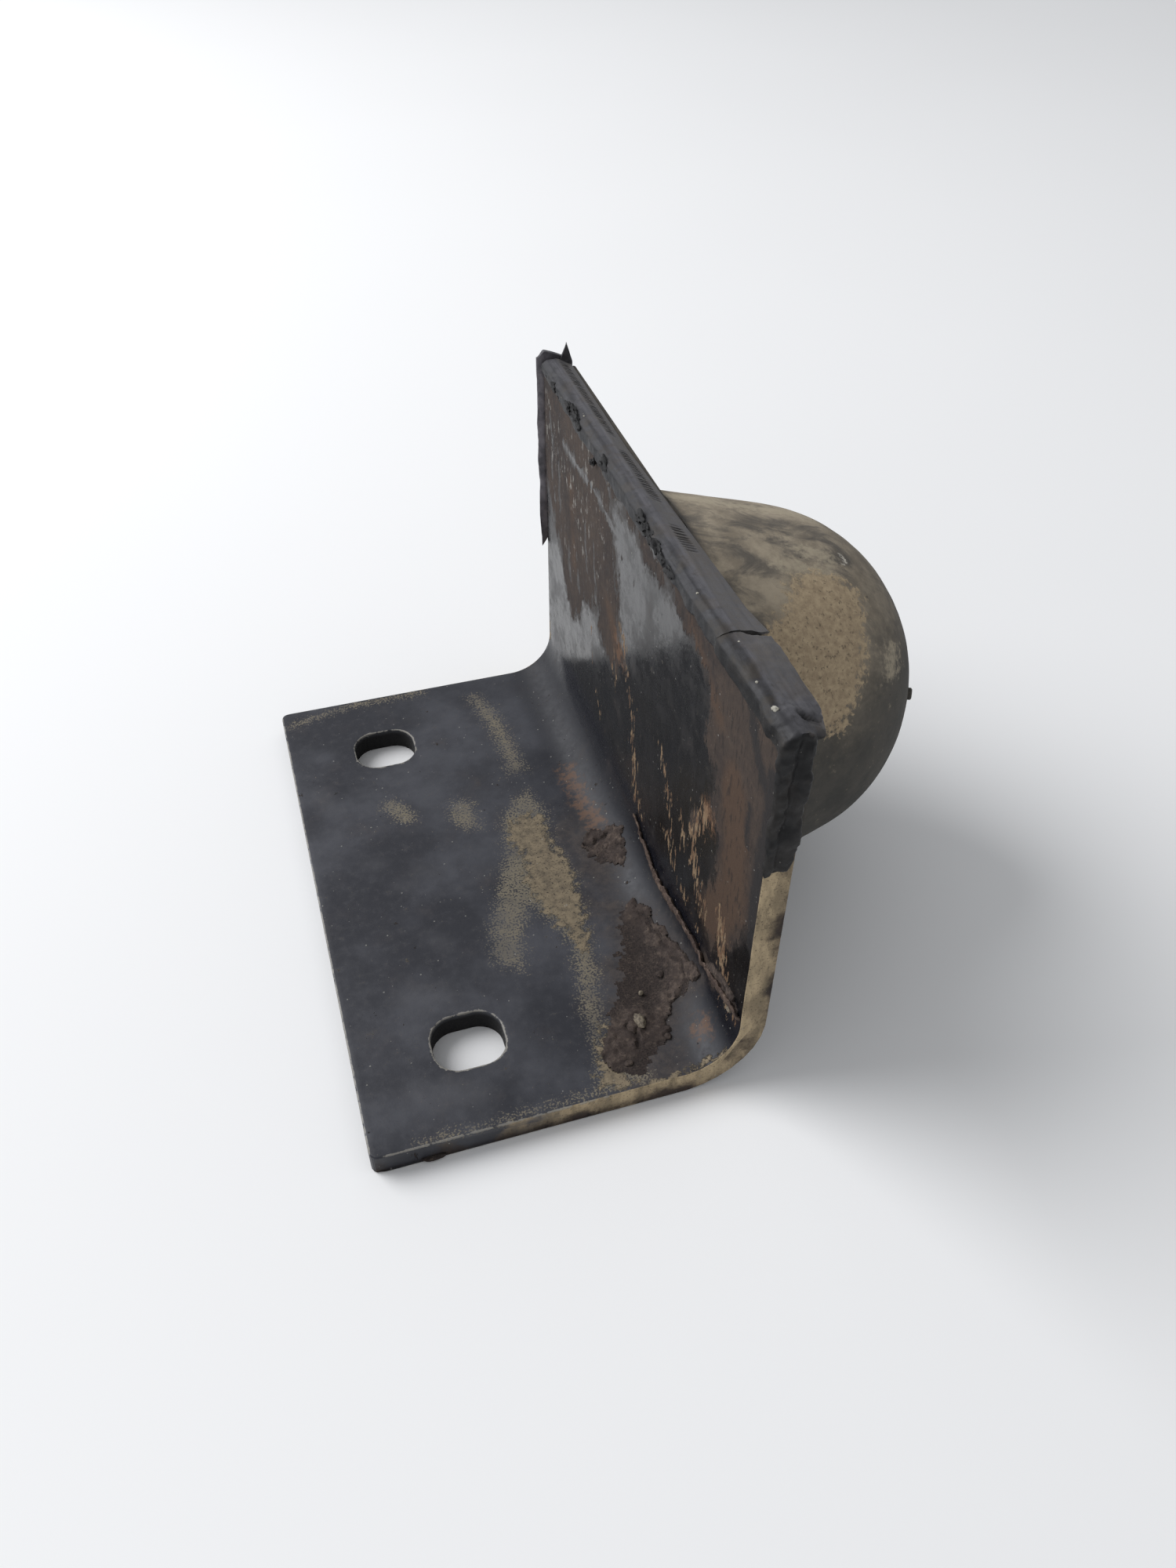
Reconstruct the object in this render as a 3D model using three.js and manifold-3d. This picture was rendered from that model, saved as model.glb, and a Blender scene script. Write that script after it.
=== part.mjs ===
// A bolt-on rubber bump stop: a bent steel bracket whose upright carries a domed rubber buffer. The rubber
// skin behind the dome turns over the upright's top edge and both of its side edges as thin moulded lips.
//
// Millimetres, +Z up. The origin is on the underside of the base flange, midway between the two bolt slots.
// +X points towards the nose of the buffer, and Y runs along the bend. The front is -Y and the rear is +Y.

import * as THREE from 'three';
import { mergeVertices } from 'three/addons/utils/BufferGeometryUtils.js';
import Module from 'manifold-3d';

const wasm = await Module();
wasm.setup();

// Bracket
const PLATE_THICKNESS = 6;
const BRACKET_WIDTH = 145; // along Y
const FLANGE_LENGTH = 85; // from the free edge to the outer face of the upright
const UPRIGHT_HEIGHT = 97.5; // from the underside of the flange to the top edge of the steel
const INNER_BEND_RADIUS = 12;
const FLANGE_CORNER_RADIUS = 2;

// Bolt slots, which run along X
const SLOT_LENGTH = 16;
const SLOT_WIDTH = 14.2;
const SLOT_CORNER_RADIUS = 5.7;
const SLOT_SPACING = 100;
const SLOT_TO_FREE_EDGE = 25.5;

// Buffer: a cone that runs out into a round nose
const NOSE_RADIUS = 40.5;
const NOSE_REACH = 59; // from the outer face of the upright to the tip
const CONE_HALF_ANGLE = THREE.MathUtils.degToRad(15.3);
const SKIN_THICKNESS = 2.2; // the rubber behind the dome, measured from the outer face of the upright
const FRONT_SKIN_BOTTOM = 70; // height at which the skin ends on each side of the dome
const REAR_SKIN_BOTTOM = 47;

// Vent pip left by the mould on the round nose
const PIP_RADIUS = 1.4;
const PIP_HEIGHT = 0.8;
const PIP_AZIMUTH = THREE.MathUtils.degToRad(-32); // about Z, from +X
const PIP_ELEVATION = THREE.MathUtils.degToRad(5.5);

// Moulded lips
const TOP_LIP_THICKNESS = 2.5; // above the steel
const TOP_LIP_OVERHANG = 1; // past the inner face of the upright
const TOP_LIP_LAP = 3.5; // how far the top lip reaches down the inner face
const LIP_EDGE_CHAMFER = 0.8;
const SIDE_LIP_THICKNESS = 1.5; // outside the side edges of the steel
const FRONT_LIP_OVERHANG = 0.4;
const FRONT_LIP_DROP = 3.5; // how far the front lip reaches below the skin beside it
const REAR_LIP_OVERHANG = 1.4;
const REAR_LIP_RISE = 2; // the rear lip curls up past the top lip
const REAR_LIP_POINT = 47; // height of the worn point at its lower end
const REAR_LIP_TAPER = 6; // rise of its slanted end across the plate's thickness
const FRONT_CORNER_LENGTH = 27.5; // from the front side edge to the split in the top lip

// Clearances and drawing steps
const BOND_GAP = 0.3; // between the steel and the rubber, and between neighbouring pieces of rubber
const LIP_SPLIT = 0.6;
const BEND_STEPS = 12;
const SLOT_STEPS = 8;
const NOSE_STEPS = 14;
const DOME_SEGMENTS = 60;
const PIP_SEGMENTS = 16;

// Places that follow from the sizes above
const FREE_EDGE_X = -SLOT_TO_FREE_EDGE;
const OUTER_FACE_X = FREE_EDGE_X + FLANGE_LENGTH;
const INNER_FACE_X = OUTER_FACE_X - PLATE_THICKNESS;
const SKIN_FACE_X = OUTER_FACE_X + SKIN_THICKNESS;
const OUTER_BEND_RADIUS = INNER_BEND_RADIUS + PLATE_THICKNESS;
const BEND_CENTRE = new THREE.Vector2(OUTER_FACE_X - OUTER_BEND_RADIUS, OUTER_BEND_RADIUS);
const FRONT_Y = -BRACKET_WIDTH / 2;
const REAR_Y = BRACKET_WIDTH / 2;
const LIP_TOP = UPRIGHT_HEIGHT + TOP_LIP_THICKNESS;
const LIP_BOTTOM = UPRIGHT_HEIGHT - TOP_LIP_LAP;
const NOSE_CENTRE_REACH = NOSE_REACH - NOSE_RADIUS;
const DOME_BASE_RADIUS =
  (NOSE_RADIUS + NOSE_CENTRE_REACH * Math.sin(CONE_HALF_ANGLE)) / Math.cos(CONE_HALF_ANGLE);
const DOME_AXIS_Z = UPRIGHT_HEIGHT - DOME_BASE_RADIUS; // the dome's base is level with the steel's top edge

const STEEL = { color: 0x3c3e44, roughness: 0.55, metalness: 0.6 };
const BUFFER_RUBBER = { color: 0x625b50, roughness: 0.9, metalness: 0 };
const LIP_RUBBER = { color: 0x3f4146, roughness: 0.75, metalness: 0 };

// Extrudes an outline drawn in X and Z along Y, from one Y to another.
function extrudeAlongY(outline, fromY, toY) {
  const geometry = new THREE.ExtrudeGeometry(outline, {
    depth: toY - fromY,
    bevelEnabled: false,
    curveSegments: BEND_STEPS,
  });
  geometry.rotateX(Math.PI / 2);
  geometry.translate(0, toY, 0);
  return geometry;
}

// Extrudes an outline drawn in X and Y along Z, from one height to another.
function extrudeAlongZ(outline, fromZ, toZ) {
  const geometry = new THREE.ExtrudeGeometry(outline, {
    depth: toZ - fromZ,
    bevelEnabled: false,
    curveSegments: SLOT_STEPS,
  });
  geometry.translate(0, 0, fromZ);
  return geometry;
}

function polygon(points) {
  return new THREE.Shape(points.map(([x, y]) => new THREE.Vector2(x, y)));
}

function toSolid(geometry) {
  const bare = geometry.clone();
  bare.deleteAttribute('normal');
  bare.deleteAttribute('uv');
  const merged = mergeVertices(bare, 1e-4);
  return new wasm.Manifold(
    new wasm.Mesh({
      numProp: 3,
      vertProperties: new Float32Array(merged.attributes.position.array),
      triVerts: new Uint32Array(merged.index.array),
    })
  );
}

function toGeometry(solid) {
  const mesh = solid.getMesh();
  const geometry = new THREE.BufferGeometry();
  geometry.setAttribute('position', new THREE.BufferAttribute(new Float32Array(mesh.vertProperties), 3));
  geometry.setIndex(new THREE.BufferAttribute(new Uint32Array(mesh.triVerts), 1));
  geometry.computeVertexNormals();
  return geometry;
}

function namedMesh(name, geometry, finish) {
  const mesh = new THREE.Mesh(geometry, new THREE.MeshStandardMaterial(finish));
  mesh.name = name;
  return mesh;
}

// The L-shaped section of the bent plate.
function bracketSection() {
  const section = new THREE.Shape();
  section.moveTo(FREE_EDGE_X, 0);
  section.lineTo(BEND_CENTRE.x, 0);
  section.absarc(BEND_CENTRE.x, BEND_CENTRE.y, OUTER_BEND_RADIUS, -Math.PI / 2, 0, false);
  section.lineTo(OUTER_FACE_X, UPRIGHT_HEIGHT);
  section.lineTo(INNER_FACE_X, UPRIGHT_HEIGHT);
  section.absarc(BEND_CENTRE.x, BEND_CENTRE.y, INNER_BEND_RADIUS, 0, -Math.PI / 2, true);
  section.lineTo(FREE_EDGE_X, PLATE_THICKNESS);
  section.closePath();
  return section;
}

// The plan of the bracket: a rectangle whose two corners at the free edge are rounded.
function bracketPlan() {
  const plan = new THREE.Shape();
  const cornerX = FREE_EDGE_X + FLANGE_CORNER_RADIUS;
  const frontCornerY = FRONT_Y + FLANGE_CORNER_RADIUS;
  const rearCornerY = REAR_Y - FLANGE_CORNER_RADIUS;
  plan.moveTo(OUTER_FACE_X + 1, FRONT_Y);
  plan.lineTo(OUTER_FACE_X + 1, REAR_Y);
  plan.lineTo(cornerX, REAR_Y);
  plan.absarc(cornerX, rearCornerY, FLANGE_CORNER_RADIUS, Math.PI / 2, Math.PI, false);
  plan.lineTo(FREE_EDGE_X, frontCornerY);
  plan.absarc(cornerX, frontCornerY, FLANGE_CORNER_RADIUS, Math.PI, 1.5 * Math.PI, false);
  plan.closePath();
  return plan;
}

// A bolt slot at X = 0, cut right through the flange: a rectangle with well rounded corners.
function slotCutter(centreY) {
  const arcX = SLOT_LENGTH / 2 - SLOT_CORNER_RADIUS;
  const arcY = SLOT_WIDTH / 2 - SLOT_CORNER_RADIUS;
  const outline = new THREE.Shape();
  outline.moveTo(-arcX, centreY - SLOT_WIDTH / 2);
  outline.lineTo(arcX, centreY - SLOT_WIDTH / 2);
  outline.absarc(arcX, centreY - arcY, SLOT_CORNER_RADIUS, -Math.PI / 2, 0, false);
  outline.lineTo(SLOT_LENGTH / 2, centreY + arcY);
  outline.absarc(arcX, centreY + arcY, SLOT_CORNER_RADIUS, 0, Math.PI / 2, false);
  outline.lineTo(-arcX, centreY + SLOT_WIDTH / 2);
  outline.absarc(-arcX, centreY + arcY, SLOT_CORNER_RADIUS, Math.PI / 2, Math.PI, false);
  outline.lineTo(-SLOT_LENGTH / 2, centreY - arcY);
  outline.absarc(-arcX, centreY - arcY, SLOT_CORNER_RADIUS, Math.PI, 1.5 * Math.PI, false);
  outline.closePath();
  return toSolid(extrudeAlongZ(outline, -PLATE_THICKNESS, 2 * PLATE_THICKNESS));
}

function mountingBracket() {
  const bentPlate = toSolid(extrudeAlongY(bracketSection(), FRONT_Y, REAR_Y));
  const plan = toSolid(extrudeAlongZ(bracketPlan(), -1, UPRIGHT_HEIGHT + 1));
  const bracket = bentPlate
    .intersect(plan)
    .subtract(slotCutter(-SLOT_SPACING / 2))
    .subtract(slotCutter(SLOT_SPACING / 2));
  return namedMesh('mounting_bracket', toGeometry(bracket), STEEL);
}

// The dome as a solid of revolution. Its root runs back past the upright, to be cut to the bracket's shape.
function domeSolid() {
  const tangentAngle = CONE_HALF_ANGLE;
  const profile = [new THREE.Vector2(0, -OUTER_BEND_RADIUS)];
  profile.push(new THREE.Vector2(DOME_BASE_RADIUS, -OUTER_BEND_RADIUS));
  profile.push(new THREE.Vector2(DOME_BASE_RADIUS, 0));
  for (let step = 0; step < NOSE_STEPS; step += 1) {
    const angle = THREE.MathUtils.lerp(tangentAngle, Math.PI / 2, step / NOSE_STEPS);
    profile.push(
      new THREE.Vector2(NOSE_RADIUS * Math.cos(angle), NOSE_CENTRE_REACH + NOSE_RADIUS * Math.sin(angle))
    );
  }
  profile.push(new THREE.Vector2(0, NOSE_REACH));
  const geometry = new THREE.LatheGeometry(profile, DOME_SEGMENTS);
  geometry.rotateZ(-Math.PI / 2);
  geometry.translate(OUTER_FACE_X, 0, DOME_AXIS_Z);
  return toSolid(geometry);
}

// The flat rubber skin on the outer face of the upright, seen along X: it ends lower at the rear.
function skinSolid() {
  const outline = polygon([
    [FRONT_Y, FRONT_SKIN_BOTTOM],
    [0, FRONT_SKIN_BOTTOM],
    [0, REAR_SKIN_BOTTOM],
    [REAR_Y, REAR_SKIN_BOTTOM],
    [REAR_Y, UPRIGHT_HEIGHT],
    [FRONT_Y, UPRIGHT_HEIGHT],
  ]);
  const depth = SKIN_THICKNESS - BOND_GAP;
  const geometry = new THREE.ExtrudeGeometry(outline, { depth, bevelEnabled: false });
  geometry.rotateX(Math.PI / 2);
  geometry.rotateZ(Math.PI / 2);
  geometry.translate(OUTER_FACE_X + BOND_GAP, 0, 0);
  return toSolid(geometry);
}

// A small round pip standing on the nose, square to its surface.
function pipSolid() {
  const seat = NOSE_RADIUS - PIP_HEIGHT;
  const geometry = new THREE.CylinderGeometry(PIP_RADIUS, PIP_RADIUS, 2 * PIP_HEIGHT, PIP_SEGMENTS);
  geometry.rotateZ(-Math.PI / 2);
  geometry.translate(seat + PIP_HEIGHT, 0, 0);
  geometry.rotateY(-PIP_ELEVATION);
  geometry.rotateZ(PIP_AZIMUTH);
  geometry.translate(OUTER_FACE_X + NOSE_CENTRE_REACH, 0, DOME_AXIS_Z);
  return toSolid(geometry);
}

// Everything on the bracket's side of the bond: the steel grown by the bond gap, and the space behind it.
function bracketSideOfBond() {
  const farX = FREE_EDGE_X - DOME_BASE_RADIUS;
  const farZ = UPRIGHT_HEIGHT + DOME_BASE_RADIUS;
  const region = new THREE.Shape();
  region.moveTo(farX, -DOME_BASE_RADIUS);
  region.lineTo(BEND_CENTRE.x, -DOME_BASE_RADIUS);
  region.lineTo(BEND_CENTRE.x, -BOND_GAP);
  region.absarc(BEND_CENTRE.x, BEND_CENTRE.y, OUTER_BEND_RADIUS + BOND_GAP, -Math.PI / 2, 0, false);
  region.lineTo(OUTER_FACE_X + BOND_GAP, farZ);
  region.lineTo(farX, farZ);
  region.closePath();
  return toSolid(extrudeAlongY(region, FRONT_Y - DOME_BASE_RADIUS, REAR_Y + DOME_BASE_RADIUS));
}

function bufferDome() {
  const buffer = domeSolid().subtract(bracketSideOfBond()).add(skinSolid()).add(pipSolid());
  return namedMesh('buffer_dome', toGeometry(buffer), BUFFER_RUBBER);
}

// The hooked section of the top lip: over the steel's top edge and down the inner face.
function topLipSection() {
  const innerX = INNER_FACE_X - BOND_GAP;
  const lapX = innerX - TOP_LIP_OVERHANG;
  return polygon([
    [lapX, LIP_BOTTOM],
    [innerX, LIP_BOTTOM],
    [innerX, UPRIGHT_HEIGHT + BOND_GAP],
    [SKIN_FACE_X, UPRIGHT_HEIGHT + BOND_GAP],
    [SKIN_FACE_X, LIP_TOP - LIP_EDGE_CHAMFER],
    [SKIN_FACE_X - LIP_EDGE_CHAMFER, LIP_TOP],
    [lapX + LIP_EDGE_CHAMFER, LIP_TOP],
    [lapX, LIP_TOP - LIP_EDGE_CHAMFER],
  ]);
}

function topLip() {
  const fromY = FRONT_Y + FRONT_CORNER_LENGTH + LIP_SPLIT;
  const geometry = extrudeAlongY(topLipSection(), fromY, REAR_Y);
  return namedMesh('top_lip', geometry, LIP_RUBBER);
}

// The front end of the top lip together with the lip down the front side edge, in one piece.
function frontCornerLip() {
  const frontX = INNER_FACE_X - FRONT_LIP_OVERHANG;
  const outsideY = FRONT_Y - SIDE_LIP_THICKNESS;
  const sideOutline = polygon([
    [frontX, FRONT_SKIN_BOTTOM - FRONT_LIP_DROP],
    [OUTER_FACE_X, FRONT_SKIN_BOTTOM - FRONT_LIP_DROP / 2],
    [SKIN_FACE_X, FRONT_SKIN_BOTTOM],
    [SKIN_FACE_X, LIP_TOP - LIP_EDGE_CHAMFER],
    [SKIN_FACE_X - LIP_EDGE_CHAMFER, LIP_TOP],
    [frontX, LIP_TOP],
  ]);
  const side = toSolid(extrudeAlongY(sideOutline, outsideY, FRONT_Y - BOND_GAP));
  const top = toSolid(extrudeAlongY(topLipSection(), outsideY, FRONT_Y + FRONT_CORNER_LENGTH));
  return namedMesh('front_corner_lip', toGeometry(side.add(top)), LIP_RUBBER);
}

// The lip on the rear side edge: it rises a little above the top lip and tapers to a worn point.
function rearSideLip() {
  const rearX = INNER_FACE_X - REAR_LIP_OVERHANG;
  const outline = polygon([
    [rearX, REAR_LIP_POINT],
    [OUTER_FACE_X, REAR_LIP_POINT + REAR_LIP_TAPER],
    [SKIN_FACE_X, REAR_LIP_POINT + 2 * REAR_LIP_TAPER],
    [SKIN_FACE_X, LIP_TOP],
    [rearX, LIP_TOP + REAR_LIP_RISE],
  ]);
  const geometry = extrudeAlongY(outline, REAR_Y + BOND_GAP, REAR_Y + SIDE_LIP_THICKNESS);
  return namedMesh('rear_side_lip', geometry, LIP_RUBBER);
}

const bumpStop = new THREE.Group();
bumpStop.add(mountingBracket(), bufferDome(), topLip(), frontCornerLip(), rearSideLip());

export default bumpStop;
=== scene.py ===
"""A used bolt-on rubber bump stop: a bent steel bracket, a domed rubber buffer and its moulded rubber lips.

Shapes are worked out in millimetres and turned into metres when a mesh is made. X points to the nose of the
buffer, Y runs along the bend and Z is up. Places on the plate's inner face are given as (run, y): run is the
distance along the face from the flange's free edge, over the bend and up the upright.
"""
import math

import bmesh
import bpy
import numpy as np
from mathutils import Matrix, Vector, noise


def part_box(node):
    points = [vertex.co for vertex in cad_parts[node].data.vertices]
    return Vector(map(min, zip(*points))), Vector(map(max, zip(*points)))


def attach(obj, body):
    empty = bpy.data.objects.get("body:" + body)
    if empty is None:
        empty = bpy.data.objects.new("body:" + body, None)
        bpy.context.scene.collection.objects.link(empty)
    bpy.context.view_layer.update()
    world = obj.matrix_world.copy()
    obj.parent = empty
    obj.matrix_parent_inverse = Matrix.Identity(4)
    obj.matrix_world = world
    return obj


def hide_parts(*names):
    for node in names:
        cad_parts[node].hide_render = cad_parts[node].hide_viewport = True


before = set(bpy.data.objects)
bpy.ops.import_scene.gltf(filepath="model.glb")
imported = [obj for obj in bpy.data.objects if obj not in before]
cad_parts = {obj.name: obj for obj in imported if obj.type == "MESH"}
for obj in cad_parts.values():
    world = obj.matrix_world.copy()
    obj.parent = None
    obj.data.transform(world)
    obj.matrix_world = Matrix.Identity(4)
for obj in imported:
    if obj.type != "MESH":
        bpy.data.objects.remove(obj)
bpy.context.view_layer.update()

MM = 0.001


def box_mm(node):
    low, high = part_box(node)
    return np.array(low) / MM, np.array(high) / MM


# Sizes from the frame
STEEL_LOW, STEEL_HIGH = box_mm("mounting_bracket")
DOME_HIGH = box_mm("buffer_dome")[1]
TOP_LIP_LOW, TOP_LIP_HIGH = box_mm("top_lip")
CORNER_LOW, CORNER_HIGH = box_mm("front_corner_lip")
REAR_LIP_LOW, REAR_LIP_HIGH = box_mm("rear_side_lip")
FREE_X, OUTER_X = STEEL_LOW[0], STEEL_HIGH[0]
FRONT_Y, REAR_Y = STEEL_LOW[1], STEEL_HIGH[1]
STEEL_TOP = STEEL_HIGH[2]
SKIN_X = TOP_LIP_HIGH[0]
LIP_TOP = TOP_LIP_HIGH[2]

# Plate
PLATE = 6.0
BEND_RADIUS = 12.0
CORNER_RADIUS = 2.0
EDGE_RADIUS = 0.45
INNER_X = OUTER_X - PLATE
BEND_X = INNER_X - BEND_RADIUS
BEND_Z = PLATE + BEND_RADIUS
BEND_START = BEND_X - FREE_X
BEND_END = BEND_START + BEND_RADIUS * math.pi / 2
RUN_END = BEND_END + STEEL_TOP - BEND_Z
SLOT_CENTRES = (-50.0, 50.0)
SLOT_HALF = (8.0, 7.1)
SLOT_CORNER = 5.7
SLOT_FLARE = 0.25

# Buffer
NOSE_RADIUS = 40.5
NOSE_X = DOME_HIGH[0] - NOSE_RADIUS
CONE_ANGLE = math.radians(15.3)
BASE_RADIUS = (NOSE_RADIUS + (NOSE_X - OUTER_X) * math.sin(CONE_ANGLE)) / math.cos(CONE_ANGLE)
AXIS_Z = STEEL_TOP - BASE_RADIUS
FRONT_SKIN_BOTTOM = 70.0
REAR_SKIN_BOTTOM = 47.0
SKIN_SETBACK = 2.5
PIP_RADIUS = 1.4
PIP_HEIGHT = 0.8
PIP_AZIMUTH = math.radians(-32)
PIP_ELEVATION = math.radians(5.5)
BOND_GAP = 0.3


# ---------- Camera, light and floor

CAMERA_PLACE = (-22.393, -207.059, 230.605)
CAMERA_ANGLES = (-17.467, 43.323, 0.384)
SENSOR_WIDTH = 36
FOCAL_LENGTH = 28.21
LIGHT_PLACE = (-0.98, 0.72, 1.08)
LIGHT_TARGET = (0.04, 0, 0.05)
LIGHT_SIZE = 1.3
LIGHT_POWER = 24
LIGHT_COLOUR = (0.98, 0.985, 1.0)
SURROUND_COLOUR = (0.95, 0.97, 1.0, 1)
SURROUND_STRENGTH = 0.46
FLOOR_HALF = 4.0


def add_camera():
    """The camera stands in front of the open side of the bracket, well above it."""
    place = Vector(CAMERA_PLACE) * MM
    azimuth, elevation, roll = (math.radians(angle) for angle in CAMERA_ANGLES)
    back = Vector((
        math.sin(azimuth) * math.cos(elevation),
        -math.cos(azimuth) * math.cos(elevation),
        math.sin(elevation),
    ))
    right = (-back).cross(Vector((0, 0, 1))).normalized()
    right.rotate(Matrix.Rotation(roll, 3, back))
    up = back.cross(right)
    data = bpy.data.cameras.new("camera")
    data.sensor_width, data.lens = SENSOR_WIDTH, FOCAL_LENGTH
    data.clip_start, data.clip_end = 0.01, 20
    camera = bpy.data.objects.new("camera", data)
    bpy.context.scene.collection.objects.link(camera)
    turn = Matrix((right, up, back)).transposed()
    camera.matrix_world = Matrix.Translation(place) @ turn.to_4x4()
    bpy.context.scene.camera = camera


def add_studio():
    """A soft overhead light far to the rear of the part, in even pale surroundings."""
    scene = bpy.context.scene
    scene.view_settings.view_transform = "Standard"
    scene.view_settings.look = "None"
    world = bpy.data.worlds.new("studio")
    world.use_nodes = True
    surround = world.node_tree.nodes["Background"]
    surround.inputs["Color"].default_value = SURROUND_COLOUR
    surround.inputs["Strength"].default_value = SURROUND_STRENGTH
    scene.world = world
    data = bpy.data.lights.new("overhead", "AREA")
    data.shape, data.size, data.energy, data.color = "DISK", LIGHT_SIZE, LIGHT_POWER, LIGHT_COLOUR
    light = bpy.data.objects.new("overhead", data)
    scene.collection.objects.link(light)
    light.location = LIGHT_PLACE
    direction = Vector(LIGHT_TARGET) - Vector(LIGHT_PLACE)
    light.rotation_euler = direction.to_track_quat("-Z", "Y").to_euler()


def add_floor():
    mesh = bpy.data.meshes.new("floor")
    square = ((-1, -1), (1, -1), (1, 1), (-1, 1))
    mesh.from_pydata([(x * FLOOR_HALF, y * FLOOR_HALF, 0) for x, y in square], [], [(0, 1, 2, 3)])
    floor = bpy.data.objects.new("floor", mesh)
    bpy.context.scene.collection.objects.link(floor)
    shader = Shader("pale_floor")
    shader.surface.inputs["Roughness"].default_value = 0.9
    shader.set_specular(0.1)
    shade = shader.noise(300, detail=2)
    shader.link("Base Color", shader.blend(shade, (246, 246, 246), (250, 250, 250)))
    mesh.materials.append(shader.material)


# ---------- Shader helpers

def linear_colour(*levels):
    """A colour given as it looks on a screen, 0 to 255, as linear values."""
    shares = [level / 255 for level in levels]
    return *(part / 12.92 if part <= 0.04045 else ((part + 0.055) / 1.055) ** 2.4 for part in shares), 1.0


class Shader:
    """A material's node tree, with short calls for the nodes that the finishes share. Sizes are in mm."""

    def __init__(self, name):
        self.material = bpy.data.materials.new(name)
        self.material.use_nodes = True
        self.tree = self.material.node_tree
        self.surface = self.tree.nodes["Principled BSDF"]
        self.place = self.tree.nodes.new("ShaderNodeTexCoord").outputs["Object"]
        self.noise_count = 0

    def put(self, socket, value):
        """Links another node's output, or sets a number or a colour given as 0 to 255."""
        if isinstance(value, bpy.types.NodeSocket):
            self.tree.links.new(value, socket)
        else:
            socket.default_value = linear_colour(*value) if isinstance(value, tuple) else value

    def link(self, name, value):
        self.put(self.surface.inputs[name], value)

    def set_specular(self, level):
        self.surface.inputs["Specular IOR Level"].default_value = level

    def math(self, operation, a, b=0.0):
        node = self.tree.nodes.new("ShaderNodeMath")
        node.operation = operation
        self.put(node.inputs[0], a)
        self.put(node.inputs[1], b)
        return node.outputs[0]

    def add(self, a, b):
        return self.math("ADD", a, b)

    def scale(self, a, b):
        return self.math("MULTIPLY", a, b)

    def larger(self, a, b):
        return self.math("MAXIMUM", a, b)

    def invert(self, value):
        return self.math("SUBTRACT", 1.0, value)

    def mapped(self, stretch):
        """The object's coordinates, each pattern from its own place so that no two line up."""
        self.noise_count += 1
        node = self.tree.nodes.new("ShaderNodeMapping")
        self.put(node.inputs["Vector"], self.place)
        node.inputs["Scale"].default_value = [1 / part for part in stretch]
        node.inputs["Location"].default_value = [self.noise_count * step for step in (0.37, 0.61, 0.23)]
        return node.outputs[0]

    def noise(self, size, detail=5, rough=0.55, stretch=(1, 1, 1), warp=0.0):
        node = self.tree.nodes.new("ShaderNodeTexNoise")
        self.put(node.inputs["Vector"], self.mapped(stretch))
        node.inputs["Scale"].default_value = 1 / (size * MM)
        node.inputs["Detail"].default_value = detail
        node.inputs["Roughness"].default_value = rough
        node.inputs["Distortion"].default_value = warp
        return node.outputs["Fac"]

    def cells(self, size, feature="F1", stretch=(1, 1, 1)):
        node = self.tree.nodes.new("ShaderNodeTexVoronoi")
        node.feature = feature
        self.put(node.inputs["Vector"], self.mapped(stretch))
        node.inputs["Scale"].default_value = 1 / (size * MM)
        return node.outputs["Distance"]

    def step(self, value, start, end):
        """0 up to start, 1 from end, and smooth between them. End may be the smaller of the two."""
        node = self.tree.nodes.new("ShaderNodeMapRange")
        node.interpolation_type = "SMOOTHSTEP"
        self.put(node.inputs["Value"], value)
        node.inputs["From Min"].default_value = start
        node.inputs["From Max"].default_value = end
        return node.outputs[0]

    def between(self, share, low, high):
        node = self.tree.nodes.new("ShaderNodeMapRange")
        self.put(node.inputs["Value"], share)
        node.inputs["To Min"].default_value = low
        node.inputs["To Max"].default_value = high
        return node.outputs[0]

    def blend(self, share, a, b):
        node = self.tree.nodes.new("ShaderNodeMix")
        node.data_type = "RGBA"
        self.put(node.inputs[0], share)
        self.put(node.inputs[6], a)
        self.put(node.inputs[7], b)
        return node.outputs[2]

    def tint(self, look, share, amount, over):
        """A look with another one over it, by amount where share is 1."""
        return self.blend(self.scale(share, amount), look, over)

    def mix(self, share, a, b):
        node = self.tree.nodes.new("ShaderNodeMix")
        self.put(node.inputs[0], share)
        self.put(node.inputs[2], a)
        self.put(node.inputs[3], b)
        return node.outputs[0]

    def field(self, name):
        """A value kept on the mesh's points."""
        node = self.tree.nodes.new("ShaderNodeAttribute")
        node.attribute_name = name
        return node.outputs["Fac"]

    def ragged(self, field, grain, spread, sharp=0.06):
        """The part of a field above one half, with its edge broken up by a noise pattern."""
        shift = self.scale(self.add(grain, -0.5), spread)
        return self.step(self.add(field, shift), 0.5 - sharp, 0.5 + sharp)

    def facing_up(self):
        node = self.tree.nodes.new("ShaderNodeSeparateXYZ")
        geometry = self.tree.nodes.new("ShaderNodeNewGeometry")
        self.put(node.inputs[0], geometry.outputs["Normal"])
        return node.outputs["Z"]

    def bump(self, *layers):
        """Bumps given as (height, depth in mm), stacked on the surface's normal."""
        normal = None
        for height, depth in layers:
            node = self.tree.nodes.new("ShaderNodeBump")
            node.inputs["Strength"].default_value = 1.0
            node.inputs["Distance"].default_value = depth * MM
            self.put(node.inputs["Height"], height)
            if normal is not None:
                self.put(node.inputs["Normal"], normal)
            normal = node.outputs[0]
        self.link("Normal", normal)


# ---------- Mesh helpers

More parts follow.
